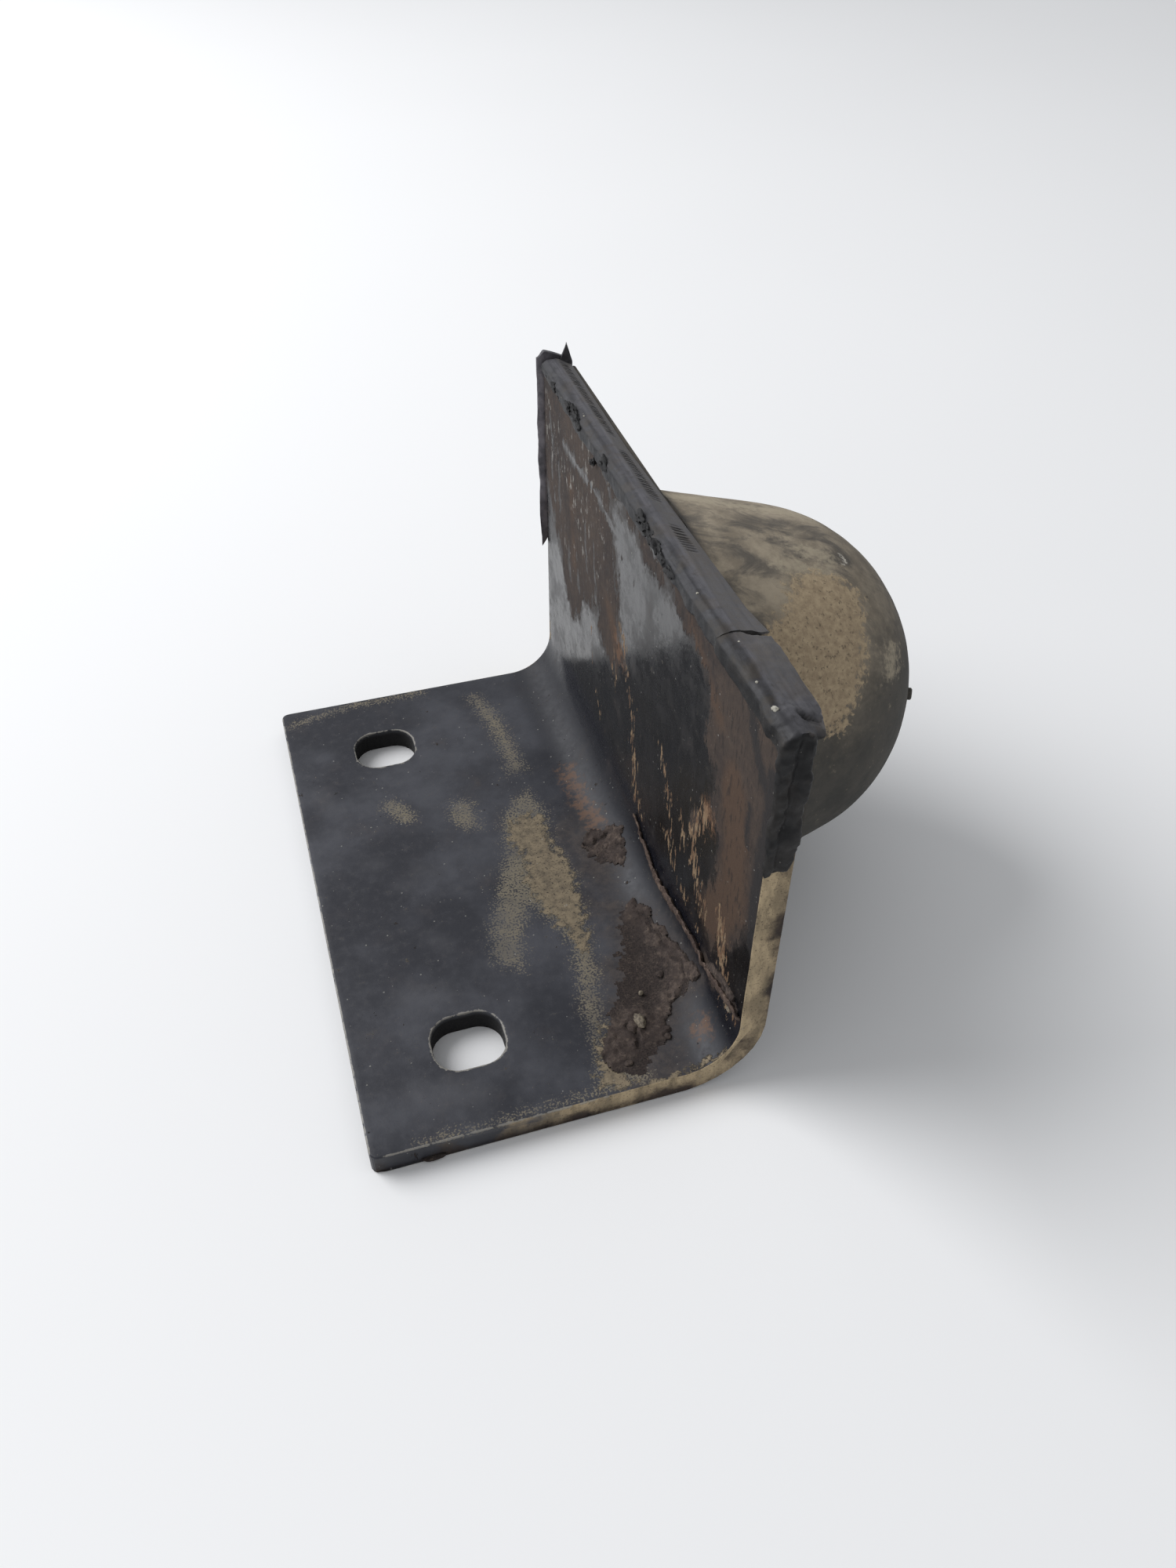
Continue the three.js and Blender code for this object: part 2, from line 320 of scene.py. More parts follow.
def mesh_object(name, points, faces):
    """An object from points in millimetres, with its faces turned outwards."""
    mesh = bpy.data.meshes.new(name)
    mesh.from_pydata((np.asarray(points) * MM).tolist(), [], faces)
    work = bmesh.new()
    work.from_mesh(mesh)
    bmesh.ops.remove_doubles(work, verts=work.verts, dist=1e-7)
    bmesh.ops.recalc_face_normals(work, faces=work.faces)
    work.to_mesh(mesh)
    work.free()
    thing = bpy.data.objects.new(name, mesh)
    bpy.context.scene.collection.objects.link(thing)
    return thing


def points_of(thing):
    """The mesh's points in millimetres."""
    places = np.empty(len(thing.data.vertices) * 3)
    thing.data.vertices.foreach_get("co", places)
    return places.reshape(-1, 3) / MM


def normals_of(thing):
    normals = np.empty(len(thing.data.vertices) * 3)
    thing.data.vertex_normals.foreach_get("vector", normals)
    return normals.reshape(-1, 3)


def set_points(thing, points):
    thing.data.vertices.foreach_set("co", (points * MM).ravel())
    thing.data.update()


def set_field(thing, name, values):
    layer = thing.data.attributes.new(name, "FLOAT", "POINT")
    layer.data.foreach_set("value", np.asarray(values, dtype=np.float32))


def applied(thing):
    """Applies every modifier and leaves plain mesh behind."""
    graph = bpy.context.evaluated_depsgraph_get()
    made = bpy.data.meshes.new_from_object(thing.evaluated_get(graph))
    thing.modifiers.clear()
    thing.data = made
    return thing


def combine(thing, other, operation):
    """Joins other to thing, or cuts it away, and deletes it."""
    step = thing.modifiers.new("combine", "BOOLEAN")
    step.operation = operation
    step.solver = "MANIFOLD"
    step.object = other
    applied(thing)
    bpy.data.objects.remove(other)
    return thing


def joined(name, things):
    """Puts separate closed shells into one object."""
    target = things[0]
    with bpy.context.temp_override(active_object=target, selected_editable_objects=things):
        bpy.ops.object.join()
    target.name = name
    return target


def remeshed(thing, voxel):
    step = thing.modifiers.new("remesh", "REMESH")
    step.mode = "VOXEL"
    step.voxel_size = voxel * MM
    return applied(thing)


def finished(thing, material, replaced=(), sharp=35):
    """Shades the piece, gives it its finish and hangs it on the part's body."""
    for polygon in thing.data.polygons:
        polygon.use_smooth = True
    thing.data.set_sharp_from_angle(angle=math.radians(sharp))
    thing.data.materials.clear()
    thing.data.materials.append(material)
    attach(thing, "root")
    if replaced:
        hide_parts(*replaced)
    return thing


def rough_at(points, size, octaves=4, seed=0.0):
    """Smooth random values from about -1 to 1 at each point, with features of that size in mm.

    The size is one number, or three for features that are longer one way.
    """
    if isinstance(size, tuple):
        points, size = points / np.array(size), 1.0
    shift = Vector((seed * 17.3, seed * 5.1, seed * 9.7))
    return np.array([
        noise.fractal(Vector(point) / size + shift, 1.0, 2.0, octaves) for point in points.tolist()
    ])


def smoothstep(value, start, end):
    share = np.clip((value - start) / (end - start), 0, 1)
    return share * share * (3 - 2 * share)


def fall(value, start, end):
    """1 up to start and 0 from end."""
    return 1 - smoothstep(value, start, end)


def flat_points(a, b):
    """Places on a flat sheet as points, for a pattern over them."""
    return np.stack([a, b, a * 0], axis=1)


def rings_to_faces(rings, around, first=0):
    """Quads between closed rings of points that follow each other in the list."""
    faces = []
    for ring in range(rings - 1):
        for index in range(around):
            here = first + ring * around
            after = (index + 1) % around
            faces.append((here + index, here + after, here + around + after, here + around + index))
    return faces


def swept(name, rings):
    """A closed solid from a stack of closed rings of points."""
    rings = np.asarray(rings)
    count, around = rings.shape[:2]
    faces = rings_to_faces(count, around)
    faces.append(tuple(range(around))[::-1])
    faces.append(tuple(range((count - 1) * around, count * around)))
    return mesh_object(name, rings.reshape(-1, 3), faces)


def shell(name, top, bottom, keep=None):
    """A closed sheet between two grids of points. keep says which of the grid's cells are there."""
    rows, columns = top.shape[:2]
    if keep is None:
        keep = np.ones((rows - 1, columns - 1), bool)
    padded = np.pad(keep, 1)
    size = rows * columns
    faces = []

    def corner(row, column):
        return row * columns + column

    for row, column in zip(*np.nonzero(keep)):
        a, b = corner(row, column), corner(row, column + 1)
        c, d = corner(row + 1, column + 1), corner(row + 1, column)
        faces.append((a, b, c, d))
        faces.append((size + d, size + c, size + b, size + a))
        walls = (
            (padded[row, column + 1], a, b),
            (padded[row + 1, column + 2], b, c),
            (padded[row + 2, column + 1], c, d),
            (padded[row + 1, column], d, a),
        )
        faces.extend((end, start, size + start, size + end) for there, start, end in walls if not there)
    points = np.concatenate([top.reshape(-1, 3), bottom.reshape(-1, 3)])
    used = np.unique(np.array([index for face in faces for index in face]))
    renumbered = np.zeros(len(points), int)
    renumbered[used] = np.arange(len(used))
    faces = [tuple(int(renumbered[index]) for index in face) for face in faces]
    return mesh_object(name, points[used], faces)


def lump(centre, radii, seed, bumps=0.25, detail=3):
    """A small uneven lump of dirt or rubber."""
    work = bmesh.new()
    bmesh.ops.create_icosphere(work, subdivisions=detail, radius=1)
    points = np.array([vert.co for vert in work.verts])
    faces = [tuple(vert.index for vert in face.verts) for face in work.faces]
    work.free()
    grown = points * (1 + bumps * rough_at(points, 0.8, seed=seed))[:, None]
    return mesh_object("lump", grown * np.array(radii) + np.array(centre), faces)


def smooth_path(points, step):
    """A Catmull-Rom curve through given points, with a point about every step."""
    points = np.asarray(points, float)
    ends = [2 * points[0] - points[1], *points, 2 * points[-1] - points[-2]]
    path = []
    for a, b, c, d in zip(ends, ends[1:], ends[2:], ends[3:]):
        count = max(2, int(np.linalg.norm(c - b) / step))
        for share in np.arange(count) / count:
            square, cube = 2 * a - 5 * b + 4 * c - d, 3 * (b - c) + d - a
            path.append(b + 0.5 * share * (c - a + share * (square + share * cube)))
    path.append(points[-1])
    return np.array(path)


# ---------- Places on the plate

def on_plate(run, y, depth):
    """Points in the plate: depth is 0 on its inner face and grows towards its outer face."""
    run, y, depth = np.broadcast_arrays(*(np.asarray(part, float) for part in (run, y, depth)))
    turn = np.clip((run - BEND_START) / BEND_RADIUS, 0, math.pi / 2)
    flat = np.minimum(run, BEND_START)
    rise = np.maximum(run - BEND_END, 0)
    x = FREE_X + flat + (BEND_RADIUS + depth) * np.sin(turn)
    z = BEND_Z - (BEND_RADIUS + depth) * np.cos(turn) + rise
    return np.stack([x, y, z], axis=-1)


def plate_places(points):
    """(run, y, depth) of points in the plate."""
    x, y, z = points.T
    turn = np.arctan2(np.maximum(x - BEND_X, 0), np.maximum(BEND_Z - z, 0))
    in_bend = (x > BEND_X) & (z < BEND_Z)
    upright = z >= BEND_Z
    run = np.where(upright, z - BEND_Z + BEND_END, x - FREE_X)
    run = np.where(in_bend, BEND_START + BEND_RADIUS * turn, run)
    depth = np.where(upright, x - INNER_X, PLATE - z)
    depth = np.where(in_bend, np.hypot(x - BEND_X, BEND_Z - z) - BEND_RADIUS, depth)
    return run, y, depth


def inside_distance(places, outline):
    """How far inside a closed outline each place lies. Outside it is negative."""
    start = np.asarray(outline, float)
    end = np.roll(start, -1, axis=0)
    inside = np.zeros(len(places), bool)
    nearest = np.full(len(places), 1e9)
    for a, b in zip(start, end):
        along = b - a
        share = np.clip(((places - a) @ along) / (along @ along), 0, 1)
        nearest = np.minimum(nearest, np.linalg.norm(places - a - share[:, None] * along, axis=1))
        crosses = (a[1] > places[:, 1]) != (b[1] > places[:, 1])
        with np.errstate(divide="ignore", invalid="ignore"):
            at = a[0] + (places[:, 1] - a[1]) / (b[1] - a[1]) * along[0]
        inside ^= crosses & (places[:, 0] < at)
    return np.where(inside, nearest, -nearest)


def path_distance(places, path):
    nearest = np.full(len(places), 1e9)
    path = np.asarray(path, float)
    for a, b in zip(path, path[1:]):
        along = b - a
        share = np.clip(((places - a) @ along) / (along @ along), 0, 1)
        nearest = np.minimum(nearest, np.linalg.norm(places - a - share[:, None] * along, axis=1))
    return nearest


def patches(places, outlines, spread=4.0):
    """One half on the outlines' edges, rising to 1 inside them and falling to 0 outside."""
    best = np.full(len(places), -1e9)
    for outline in outlines:
        best = np.maximum(best, inside_distance(places, outline))
    return np.clip(0.5 + best / (2 * spread), 0, 1)


def strokes(places, paths, spread=1.5):
    """The same for brush strokes, each given as (width, points along it)."""
    best = np.full(len(places), -1e9)
    for width, path in paths:
        best = np.maximum(best, width / 2 - path_distance(places, path))
    return np.clip(0.5 + best / (2 * spread), 0, 1)


# ---------- Wear and dirt on the plate's inner face

# Bare brown scale on the upright, where the paint has gone
BROWN_PATCHES = [
    [(170, 76), (150, 76), (140, 74), (131, 66), (120, 58), (109, 49), (112, 43), (119, 41), (124, 27),
     (118, 24), (117, 12), (131, 11), (140, 13), (147, 15), (157, 19), (170, 19)],
    [(170, 73), (163, 72), (158, 56), (157.5, 30), (160, 14), (161, 2), (158, -3), (158, -8), (160, -17),
     (158, -35), (154, -44), (148, -43.5), (141, -44), (137, -48.5), (127, -48), (124.5, -52), (117, -54.5),
     (108, -52.5), (103, -49), (98, -46), (94, -50), (91, -53.5), (96, -58), (103, -63.5), (114, -69.8),
     (116, -80), (170, -80)],
]
BROWN_STROKES = [
    (3, [(119, -41.5), (113, -39)]),
    (3, [(86, -52), (84, -58)]),
    (5, [(124, 10), (122, 14)]),
]
# Narrow stretches of paint left inside the brown
PAINT_STROKES = [
    (2.6, [(154, 56), (153.6, 48), (155, 30), (154, 24), (153, 14)]),
    (1.6, [(164.8, 9), (159, 16)]),
    (1.6, [(163.5, 25), (160, 20)]),
    (1.6, [(163.4, -6), (161, -17)]),
    (1.4, [(142, 38), (130, 36)]),
    (1.6, [(140, 31), (126, 29)]),
    (1.2, [(134, 46), (120, 43)]),
    (1.0, [(130, 53), (118, 50)]),
    (1.0, [(150, 61), (128, 58)]),
    (2.0, [(156, 68), (150, 66), (143, 67), (134, 64)]),
    (1.4, [(146, 71), (130, 70)]),
]
# Orange rust that shows through the brown
WARM_STROKES = [
    (13, [(140, -57), (127, -60), (116, -61), (104, -57), (98, -51)]),
    (5, [(131, 20), (124, 12)]),
    (4, [(146, 50), (126, 47)]),
    (4, [(118, 66), (98, 63)]),
    (4, [(160, -30), (150, -48)]),
]
ORANGE_STROKES = [
    (3, [(126, 13), (123, 9)]),
    (2.5, [(126, -46), (123, -49)]),
    (2.6, [(75, -63), (75.6, -64.5)]),
    (3, [(70, 26), (71, 14), (72, 4)]),
]
# Stretches of the dark paint that are full of small tan chips
CHIP_STROKES = [
    (6, [(131, 9), (121, 4), (115, 0.5), (104, -2), (92.5, -4), (88, -9)]),
    (5, [(120, 14), (112, 12)]),
    (4, [(114, 34), (106, 31)]),
    (4, [(100, 30), (94, 24)]),
    (8, [(124, -46), (112, -40), (103, -43), (97, -48)]),
    (6, [(112, -33), (104, -36)]),
    (9, [(104, -58), (93, -60), (86, -66)]),
    (4, [(97, -24), (92, -34), (88, -48)]),
    (6, [(118, -20), (108, -26), (98, -28)]),
]
# Dark old paint along the front edge of the upright
DARK_STROKES = [
    (4.0, [(156, -71), (140, -70.8), (124, -70.5), (112, -72)]),
    (2.2, [(142, -64), (138, -63.6), (133.5, -64.5)]),
    (3.5, [(168, -58), (158, -62), (152, -68)]),
]
# Tan dust lying thick on the flange
DUST_PATCHES = [
    [(51, 12), (56, 14), (60, 12), (59.4, 1.6), (61.3, -9), (60.4, -18), (58.8, -32), (56.5, -34),
     (55.3, -28), (52.7, -21), (50.5, -14), (49.8, -8), (52, -2), (50, 5)],
    [(53.5, -55), (52, -62), (50, -70), (56, -71), (56.5, -62), (55.5, -56)],
]
DUST_STROKES = [
    (1.0, [(60, -72.2), (67, -71.8), (73, -71.5), (79, -72)]),
    (1.5, [(84, 71.5), (92, 72.3)]),
]
# Dust lying thin, as speckles
HAZE_PATCHES = [
    [(51.5, 66), (55.5, 66), (59, 57), (60, 47), (61, 30), (54.5, 29), (55, 40), (54, 52)],
    [(49, 14), (54, 21), (59, 23), (61.5, 13), (60.5, 2), (62.5, -9), (61.5, -18), (60, -33), (58, -44),
     (54.5, -60), (50.5, -62), (51, -50), (53, -38), (54, -31), (51, -23), (48.5, -18), (46, -24),
     (42.5, -36), (35.5, -32), (37, -20), (42.5, -8), (46.5, 2.5)],
    [(44, 11), (38, 14), (36, 19), (38, 25), (44, 23)],
    [(53, -58), (49, -66), (48, -72), (62, -72), (58, -62)],
]
HAZE_STROKES = [
    (2, [(10, -71.5), (30, -71.5), (50, -70.5)]),
    (6, [(23, 27), (26, 22)]),
    (3, [(3, 67), (20, 71), (40, 71)]),
]
# Spots where the paint is rubbed pale
RUBBED_SPOTS = [
    (3.5, [(14, 8), (16, 7.5)]),
    (3.5, [(26, 2), (29, 1)]),
    (3, [(20, -1), (21, -2)]),
    (4, [(24, -20), (26, -22)]),
    (5, [(14, -35), (22, -36)]),
    (5, [(6, 36), (8, 30)]),
    (6, [(12, -60), (24, -64)]),
]
# Thin film of brown dirt round the dried mud
FILM_PATCHES = [
    [(62, 6), (70, 8), (73, 4), (74, -12), (70, -20), (76, -30), (79, -42), (82, -54), (74, -56), (70, -62),
     (66, -74), (55, -74), (56, -50), (60, -40), (63, -30), (64, -12)],
]
# Dried mud thick enough to have its own edge
MUD_PATCHES = [
    [(65.5, -0.5), (70, 3), (75, 1.5), (78, -2.6), (77, -9), (73.5, -13), (68, -9)],
    [(69, -24), (73, -23), (75.5, -30), (77, -37), (80, -46), (82, -55), (77, -51), (73.5, -54), (69, -60),
     (64, -67), (58, -71), (52, -66), (53, -58), (58, -50), (63, -41)],
    [(82.5, -52), (87, -54), (91, -60), (92, -67), (89, -72), (86.5, -72), (87, -66), (84, -59)],
]
# Along these lines the mud is thick; elsewhere it thins out to a smear
MUD_BROKEN_EDGES = [
    [(69, -1), (73, 1), (77, -3), (76, -10)],
    [(72, -24), (75.5, -30), (77, -37), (80, -46), (82, -55)],
    [(77, -51), (73.5, -54), (69, -60)],
    [(54, -62), (58, -60), (62, -57)],
    [(84, -53), (88, -58), (90, -66)],
]
MUD_CRACKS = [
    [(67, -1), (69, -2.5), (70.5, -1), (72.5, -2), (73.5, -0.5)],
    [(74, -5), (76, -6.5), (76.5, -9)],
    [(73, -28), (74.5, -31), (74, -34), (75.5, -36), (74.8, -39), (76, -41)],
    [(71, -37), (72.5, -38.5), (72, -41), (73.5, -43)],
    [(76, -44), (77.5, -47), (77, -50)],
    [(60, -57), (61.5, -60), (60.5, -63)],
]
# Crust standing along the top of the bend
RIDGE_PATH = [
    (85.6, -5), (84.4, -8), (83.5, -11), (82.4, -18), (82, -26), (83.3, -37), (84.6, -46), (84.2, -53),
    (86, -60), (88, -66), (89, -72),
]


def steel_fields(steel):
    """Where each kind of wear lies, and where shade and light are painted on, as values on the mesh's points.
    """
    run, y, depth = plate_places(points_of(steel))
    places = np.stack([run, y], axis=1)
    inner = fall(depth, 0.4, 1.2)
    brown = np.maximum(patches(places, BROWN_PATCHES), strokes(places, BROWN_STROKES))
    brown = np.minimum(brown, 1 - strokes(places, PAINT_STROKES))
    dust = np.maximum(patches(places, DUST_PATCHES, 3.0), strokes(places, DUST_STROKES))
    end = np.minimum(y - FRONT_Y, REAR_Y - y)
    corner = np.minimum(np.hypot(end, np.minimum(depth, PLATE - depth)), np.hypot(run, depth))
    from_slot = np.full(len(run), 1e9)
    for centre in SLOT_CENTRES:
        over_x = np.maximum(np.abs(run + FREE_X) - SLOT_HALF[0] + SLOT_CORNER, 0)
        over_y = np.maximum(np.abs(y - centre) - SLOT_HALF[1] + SLOT_CORNER, 0)
        from_slot = np.minimum(from_slot, np.abs(np.hypot(over_x, over_y) - SLOT_CORNER))
    rim = np.hypot(from_slot, np.minimum(depth, PLATE - depth))
    side = fall(end, 0.1, 0.45)
    # The slots' walls, which the finish paints near black as painted shade
    slot_wall_shade_mask = fall(from_slot, 0.3, 0.6) * smoothstep(depth, 0.3, 1.2)
    bend = smoothstep(run, BEND_START - 3, BEND_START + 4) * fall(run, BEND_END, BEND_END + 8)
    haze = np.maximum(patches(places, HAZE_PATCHES, 2.6), strokes(places, HAZE_STROKES, 2.2))
    on_inner_face = {
        "brown": brown,
        "orange": strokes(places, ORANGE_STROKES, 4.0),
        "dark": strokes(places, DARK_STROKES, 2.0),
        "dust": dust,
        "film": patches(places, FILM_PATCHES, 6.0),
        "haze": haze,
        "rub": strokes(places, RUBBED_SPOTS, 3.0),
        "flakes": smoothstep(y, 5, 25) * smoothstep(run, 118, 128),
        "chips": strokes(places, CHIP_STROKES, 4.0),
        "warm": strokes(places, WARM_STROKES, 5.0),
    }
    elsewhere = {
        "edge": fall(np.minimum(corner, rim), 0.2, 0.65) * fall(run, 45, 60),
        # The plate's side faces, lightened in the finish as painted light
        "side": side * smoothstep(run, 5, 60),
        "outer": smoothstep(depth, PLATE - 1.2, PLATE - 0.4),
        "slot_wall_shade": slot_wall_shade_mask,
        # Where the plate bends, stronger towards the rear: painted shade in the bend, and a rougher finish
        # there
        "bend": bend * (0.8 + 0.2 * smoothstep(y, 0, 60)),
        "upright": smoothstep(run, BEND_START + 9, BEND_START + 15),
    }
    for name, values in on_inner_face.items():
        set_field(steel, name, values * inner)
    for name, values in elsewhere.items():
        set_field(steel, name, values)


def steel_finish():
    """Old black paint, with brown scale, tan dust and bright worn edges over it, painted shade in the bend
    and slot walls and painted light on the side faces.
    """
    s = Shader("worn_black_paint")
    fine = s.noise(0.5, detail=3)
    grain = s.noise(2.2, detail=8, rough=0.7)
    coarse = s.noise(9, detail=6, rough=0.6)
    broad = s.noise(26, detail=4)
    drag = s.noise(3.0, detail=6, rough=0.65, stretch=(1, 1, 3))
    flow = s.noise(1.1, detail=5, rough=0.65, stretch=(1, 1, 4))
    upright = s.field("upright")

    paint = s.blend(s.step(broad, 0.38, 0.62), (46, 47, 53), (72, 73, 79))
    paint = s.tint(paint, s.step(coarse, 0.35, 0.65), 0.45, (42, 43, 50))
    paint = s.tint(paint, s.step(grain, 0.5, 0.72), 0.25, (76, 77, 82))
    paint = s.tint(paint, s.step(fine, 0.60, 0.70), 0.3, (26, 26, 29))
    old_paint = s.blend(s.step(drag, 0.38, 0.66), (8, 8, 10), (19, 19, 21))
    old_paint = s.tint(old_paint, s.step(flow, 0.60, 0.68), 0.3, (58, 55, 53))
    paint = s.blend(upright, paint, old_paint)
    # Painted shade in the bend, with a blue tint as a painted reflection of the sky
    paint = s.tint(paint, s.field("bend"), 0.9, (26, 27, 34))
    rubbed = s.ragged(s.field("rub"), coarse, 1.2, 0.5)
    paint = s.tint(paint, rubbed, 0.35, (84, 84, 88))

    brown = s.blend(s.step(broad, 0.35, 0.65), (42, 35, 33), (58, 48, 42))
    brown = s.tint(brown, s.step(grain, 0.42, 0.66), 0.4, (78, 64, 54))
    warm = s.step(s.add(s.field("warm"), s.scale(s.add(coarse, -0.5), 1.0)), 0.3, 0.8)
    brown = s.tint(brown, warm, 0.75, (76, 57, 43))
    brown = s.tint(brown, s.step(flow, 0.55, 0.63), 0.6, (26, 22, 21))
    shards = s.add(s.scale(s.invert(flow), 0.55), s.scale(s.invert(grain), 0.45))
    flake = s.step(s.add(s.scale(s.field("flakes"), 0.12), shards), 0.66, 0.71)
    brown = s.blend(s.scale(flake, s.step(coarse, 0.44, 0.58)), brown, (128, 125, 120))
    near_orange = s.step(s.field("orange"), 0.02, 0.4)
    rust = s.scale(s.ragged(s.field("orange"), grain, 3.0, 0.3), s.scale(near_orange, 0.6))

    dust = s.blend(s.step(grain, 0.3, 0.65), (96, 87, 74), (134, 121, 100))
    dust = s.blend(s.step(fine, 0.58, 0.66), dust, (56, 52, 48))
    # The side faces: their own olive tan, made lighter as painted light for the lamp light they lack
    olive_and_painted_light = s.blend(s.step(drag, 0.35, 0.65), (132, 118, 95), (178, 159, 128))
    olive_and_painted_light = s.tint(olive_and_painted_light, s.step(fine, 0.56, 0.68), 0.7, (66, 60, 52))

    is_brown = s.ragged(s.field("brown"), drag, 2.6)
    near_brown = s.step(s.add(s.field("brown"), s.scale(s.add(grain, -0.5), 1.2)), 0.05, 0.6)
    is_dust = s.ragged(s.field("dust"), grain, 2.4, 0.12)
    sparse = s.add(s.scale(s.add(fine, -0.5), 3.2), s.scale(s.add(grain, -0.5), 1.2))
    is_haze = s.step(s.add(s.scale(s.field("haze"), 0.95), sparse), 0.56, 0.95)
    is_haze = s.scale(is_haze, s.between(s.step(coarse, 0.38, 0.6), 0.5, 0.9))
    is_chip = s.step(s.add(s.scale(s.field("chips"), 0.75), s.scale(s.add(flow, -0.5), 2.4)), 0.64, 0.72)
    is_film = s.scale(s.ragged(s.field("film"), coarse, 1.5, 0.5), 0.7)
    is_side = s.ragged(s.field("side"), coarse, 1.2, 0.2)
    is_outer = s.ragged(s.scale(s.field("outer"), 0.55), coarse, 1.6, 0.25)
    is_dark = s.scale(s.ragged(s.field("dark"), grain, 1.5, 0.2), 0.8)
    is_worn = s.ragged(s.scale(s.field("edge"), 0.62), grain, 1.6, 0.06)
    speck = s.step(s.cells(3.4), 0.075, 0.05)
    speck = s.larger(speck, s.scale(s.step(s.cells(1.7), 0.10, 0.06), s.step(coarse, 0.5, 0.62)))
    spot = s.scale(s.step(flow, 0.58, 0.64), 0.7)

    look = s.blend(is_film, paint, s.blend(s.step(grain, 0.35, 0.65), (54, 49, 48), (82, 73, 67)))
    look = s.tint(look, near_brown, 0.45, brown)
    look = s.blend(is_brown, look, brown)
    look = s.blend(is_dark, look, (28, 27, 29))
    look = s.blend(is_chip, look, s.blend(s.step(grain, 0.4, 0.6), (104, 78, 58), (132, 112, 88)))
    look = s.blend(s.scale(s.field("flakes"), spot), look, (66, 52, 44))
    look = s.blend(rust, look, (110, 80, 58))
    look = s.blend(is_haze, look, (124, 116, 100))
    look = s.blend(is_dust, look, dust)
    look = s.blend(is_side, look, olive_and_painted_light)
    look = s.blend(is_outer, look, brown)
    look = s.tint(look, speck, 0.5, (160, 158, 152))
    look = s.tint(look, is_worn, 0.7, (150, 146, 138))
    # Painted shade: the slot walls are painted near black
    look = s.blend(s.scale(s.field("slot_wall_shade"), 0.95), look, s.blend(grain, (8, 8, 9), (34, 33, 33)))
    s.link("Base Color", look)

    matte = s.larger(s.larger(is_brown, is_dust), s.larger(is_side, is_outer))
    matte = s.larger(matte, s.larger(is_film, s.larger(is_haze, is_chip)))
    matte = s.larger(matte, s.scale(s.field("flakes"), spot))
    matte = s.larger(s.field("slot_wall_shade"), s.larger(matte, s.scale(near_brown, 0.5)))
    satin = s.between(s.step(grain, 0.3, 0.8), 0.34, 0.52)
    cloud = s.add(s.scale(grain, 0.4), s.scale(coarse, 0.6))
    gloss = s.between(s.step(cloud, 0.4, 0.6), 0.18, 0.35)
    satin = s.add(satin, s.scale(s.field("bend"), 0.16))
    s.link("Roughness", s.mix(matte, s.mix(upright, satin, gloss), s.between(fine, 0.75, 1.0)))
    s.set_specular(0.38)
    crust = s.scale(s.larger(is_brown, is_dust), s.between(flow, 0.3, 1.0))
    s.bump((coarse, 0.13), (crust, 0.14), (s.scale(matte, fine), 0.04), (speck, 0.06), (drag, 0.02))
    return s.material


# ---------- Bracket

def section_ring(radius):
    """The plate's section as (run, depth), with its corners rounded, or pulled in where radius is smaller."""
    centres = ((EDGE_RADIUS, EDGE_RADIUS, 180), (RUN_END - EDGE_RADIUS, EDGE_RADIUS, 270),
               (RUN_END - EDGE_RADIUS, PLATE - EDGE_RADIUS, 0), (EDGE_RADIUS, PLATE - EDGE_RADIUS, 90))
    steps = (1.0, 1.0, 2.5, 1.0)
    corners = []
    for run, depth, start in centres:
        angles = np.radians(start + np.arange(0, 91, 22.5))
        corners.append(np.stack([run + radius * np.cos(angles), depth + radius * np.sin(angles)], axis=1))
    ring = []
    for index, corner in enumerate(corners):
        ring.extend(corner)
        start, end = corner[-1], corners[(index + 1) % 4][0]
        count = max(2, round(np.linalg.norm(end - start) / steps[index]))
        ring.extend(start + (end - start) * share for share in np.arange(1, count) / count)
    return np.array(ring)


def matched_ring(radius, reference):
    """The same ring with as many points as the full section."""
    ring = section_ring(EDGE_RADIUS)
    low = np.array([EDGE_RADIUS, EDGE_RADIUS])
    high = np.array([RUN_END - EDGE_RADIUS, PLATE - EDGE_RADIUS])
    core = np.clip(ring, low, high)
    return core + (ring - core) * (radius / reference)


def slot_outline(centre, flare):
    """The slot seen from above: a rectangle with well rounded corners, grown by a flare."""
    reach_x, reach_y = (half - SLOT_CORNER for half in SLOT_HALF)
    outline = []
    for start, side_x, side_y in ((0, 1, 1), (90, -1, 1), (180, -1, -1), (270, 1, -1)):
        for angle in np.radians(start + np.linspace(0, 90, 16)):
            x = side_x * reach_x + (SLOT_CORNER + flare) * math.cos(angle)
            y = side_y * reach_y + (SLOT_CORNER + flare) * math.sin(angle)
            outline.append((x, centre + y))
    return outline


def slot_cutter(centre):
    """Cuts a slot whose mouths are slightly rounded."""
    turns = np.radians(np.arange(0, 91, 30))
    mouth = [(SLOT_FLARE * (1 - math.cos(turn)), SLOT_FLARE * (1 - math.sin(turn))) for turn in turns]
    levels = [(-2.0, SLOT_FLARE), *mouth, (0.7, -0.02), (1.5, -0.05)]
    levels += [(PLATE - height, flare) for height, flare in reversed(levels)]
    rings = [[(x, y, height) for x, y in slot_outline(centre, flare)] for height, flare in levels]
    return swept("slot_cutter", rings)


def round_free_corners(points):
    """Rounds the flange's two free corners in plan."""
    x, y = points[:, 0], points[:, 1]
    over_x = np.maximum(FREE_X + CORNER_RADIUS - x, 0)
    over_y = np.maximum(np.abs(y) - (REAR_Y - CORNER_RADIUS), 0)
    reach = np.hypot(over_x, over_y)
    squeeze = np.where(reach > 0, np.maximum(over_x, over_y) / np.maximum(reach, 1e-9), 1)
    points[:, 0] = np.where(over_x > 0, FREE_X + CORNER_RADIUS - over_x * squeeze, x)
    points[:, 1] = np.where(over_y > 0, np.sign(y) * (REAR_Y - CORNER_RADIUS + over_y * squeeze), y)
    return points


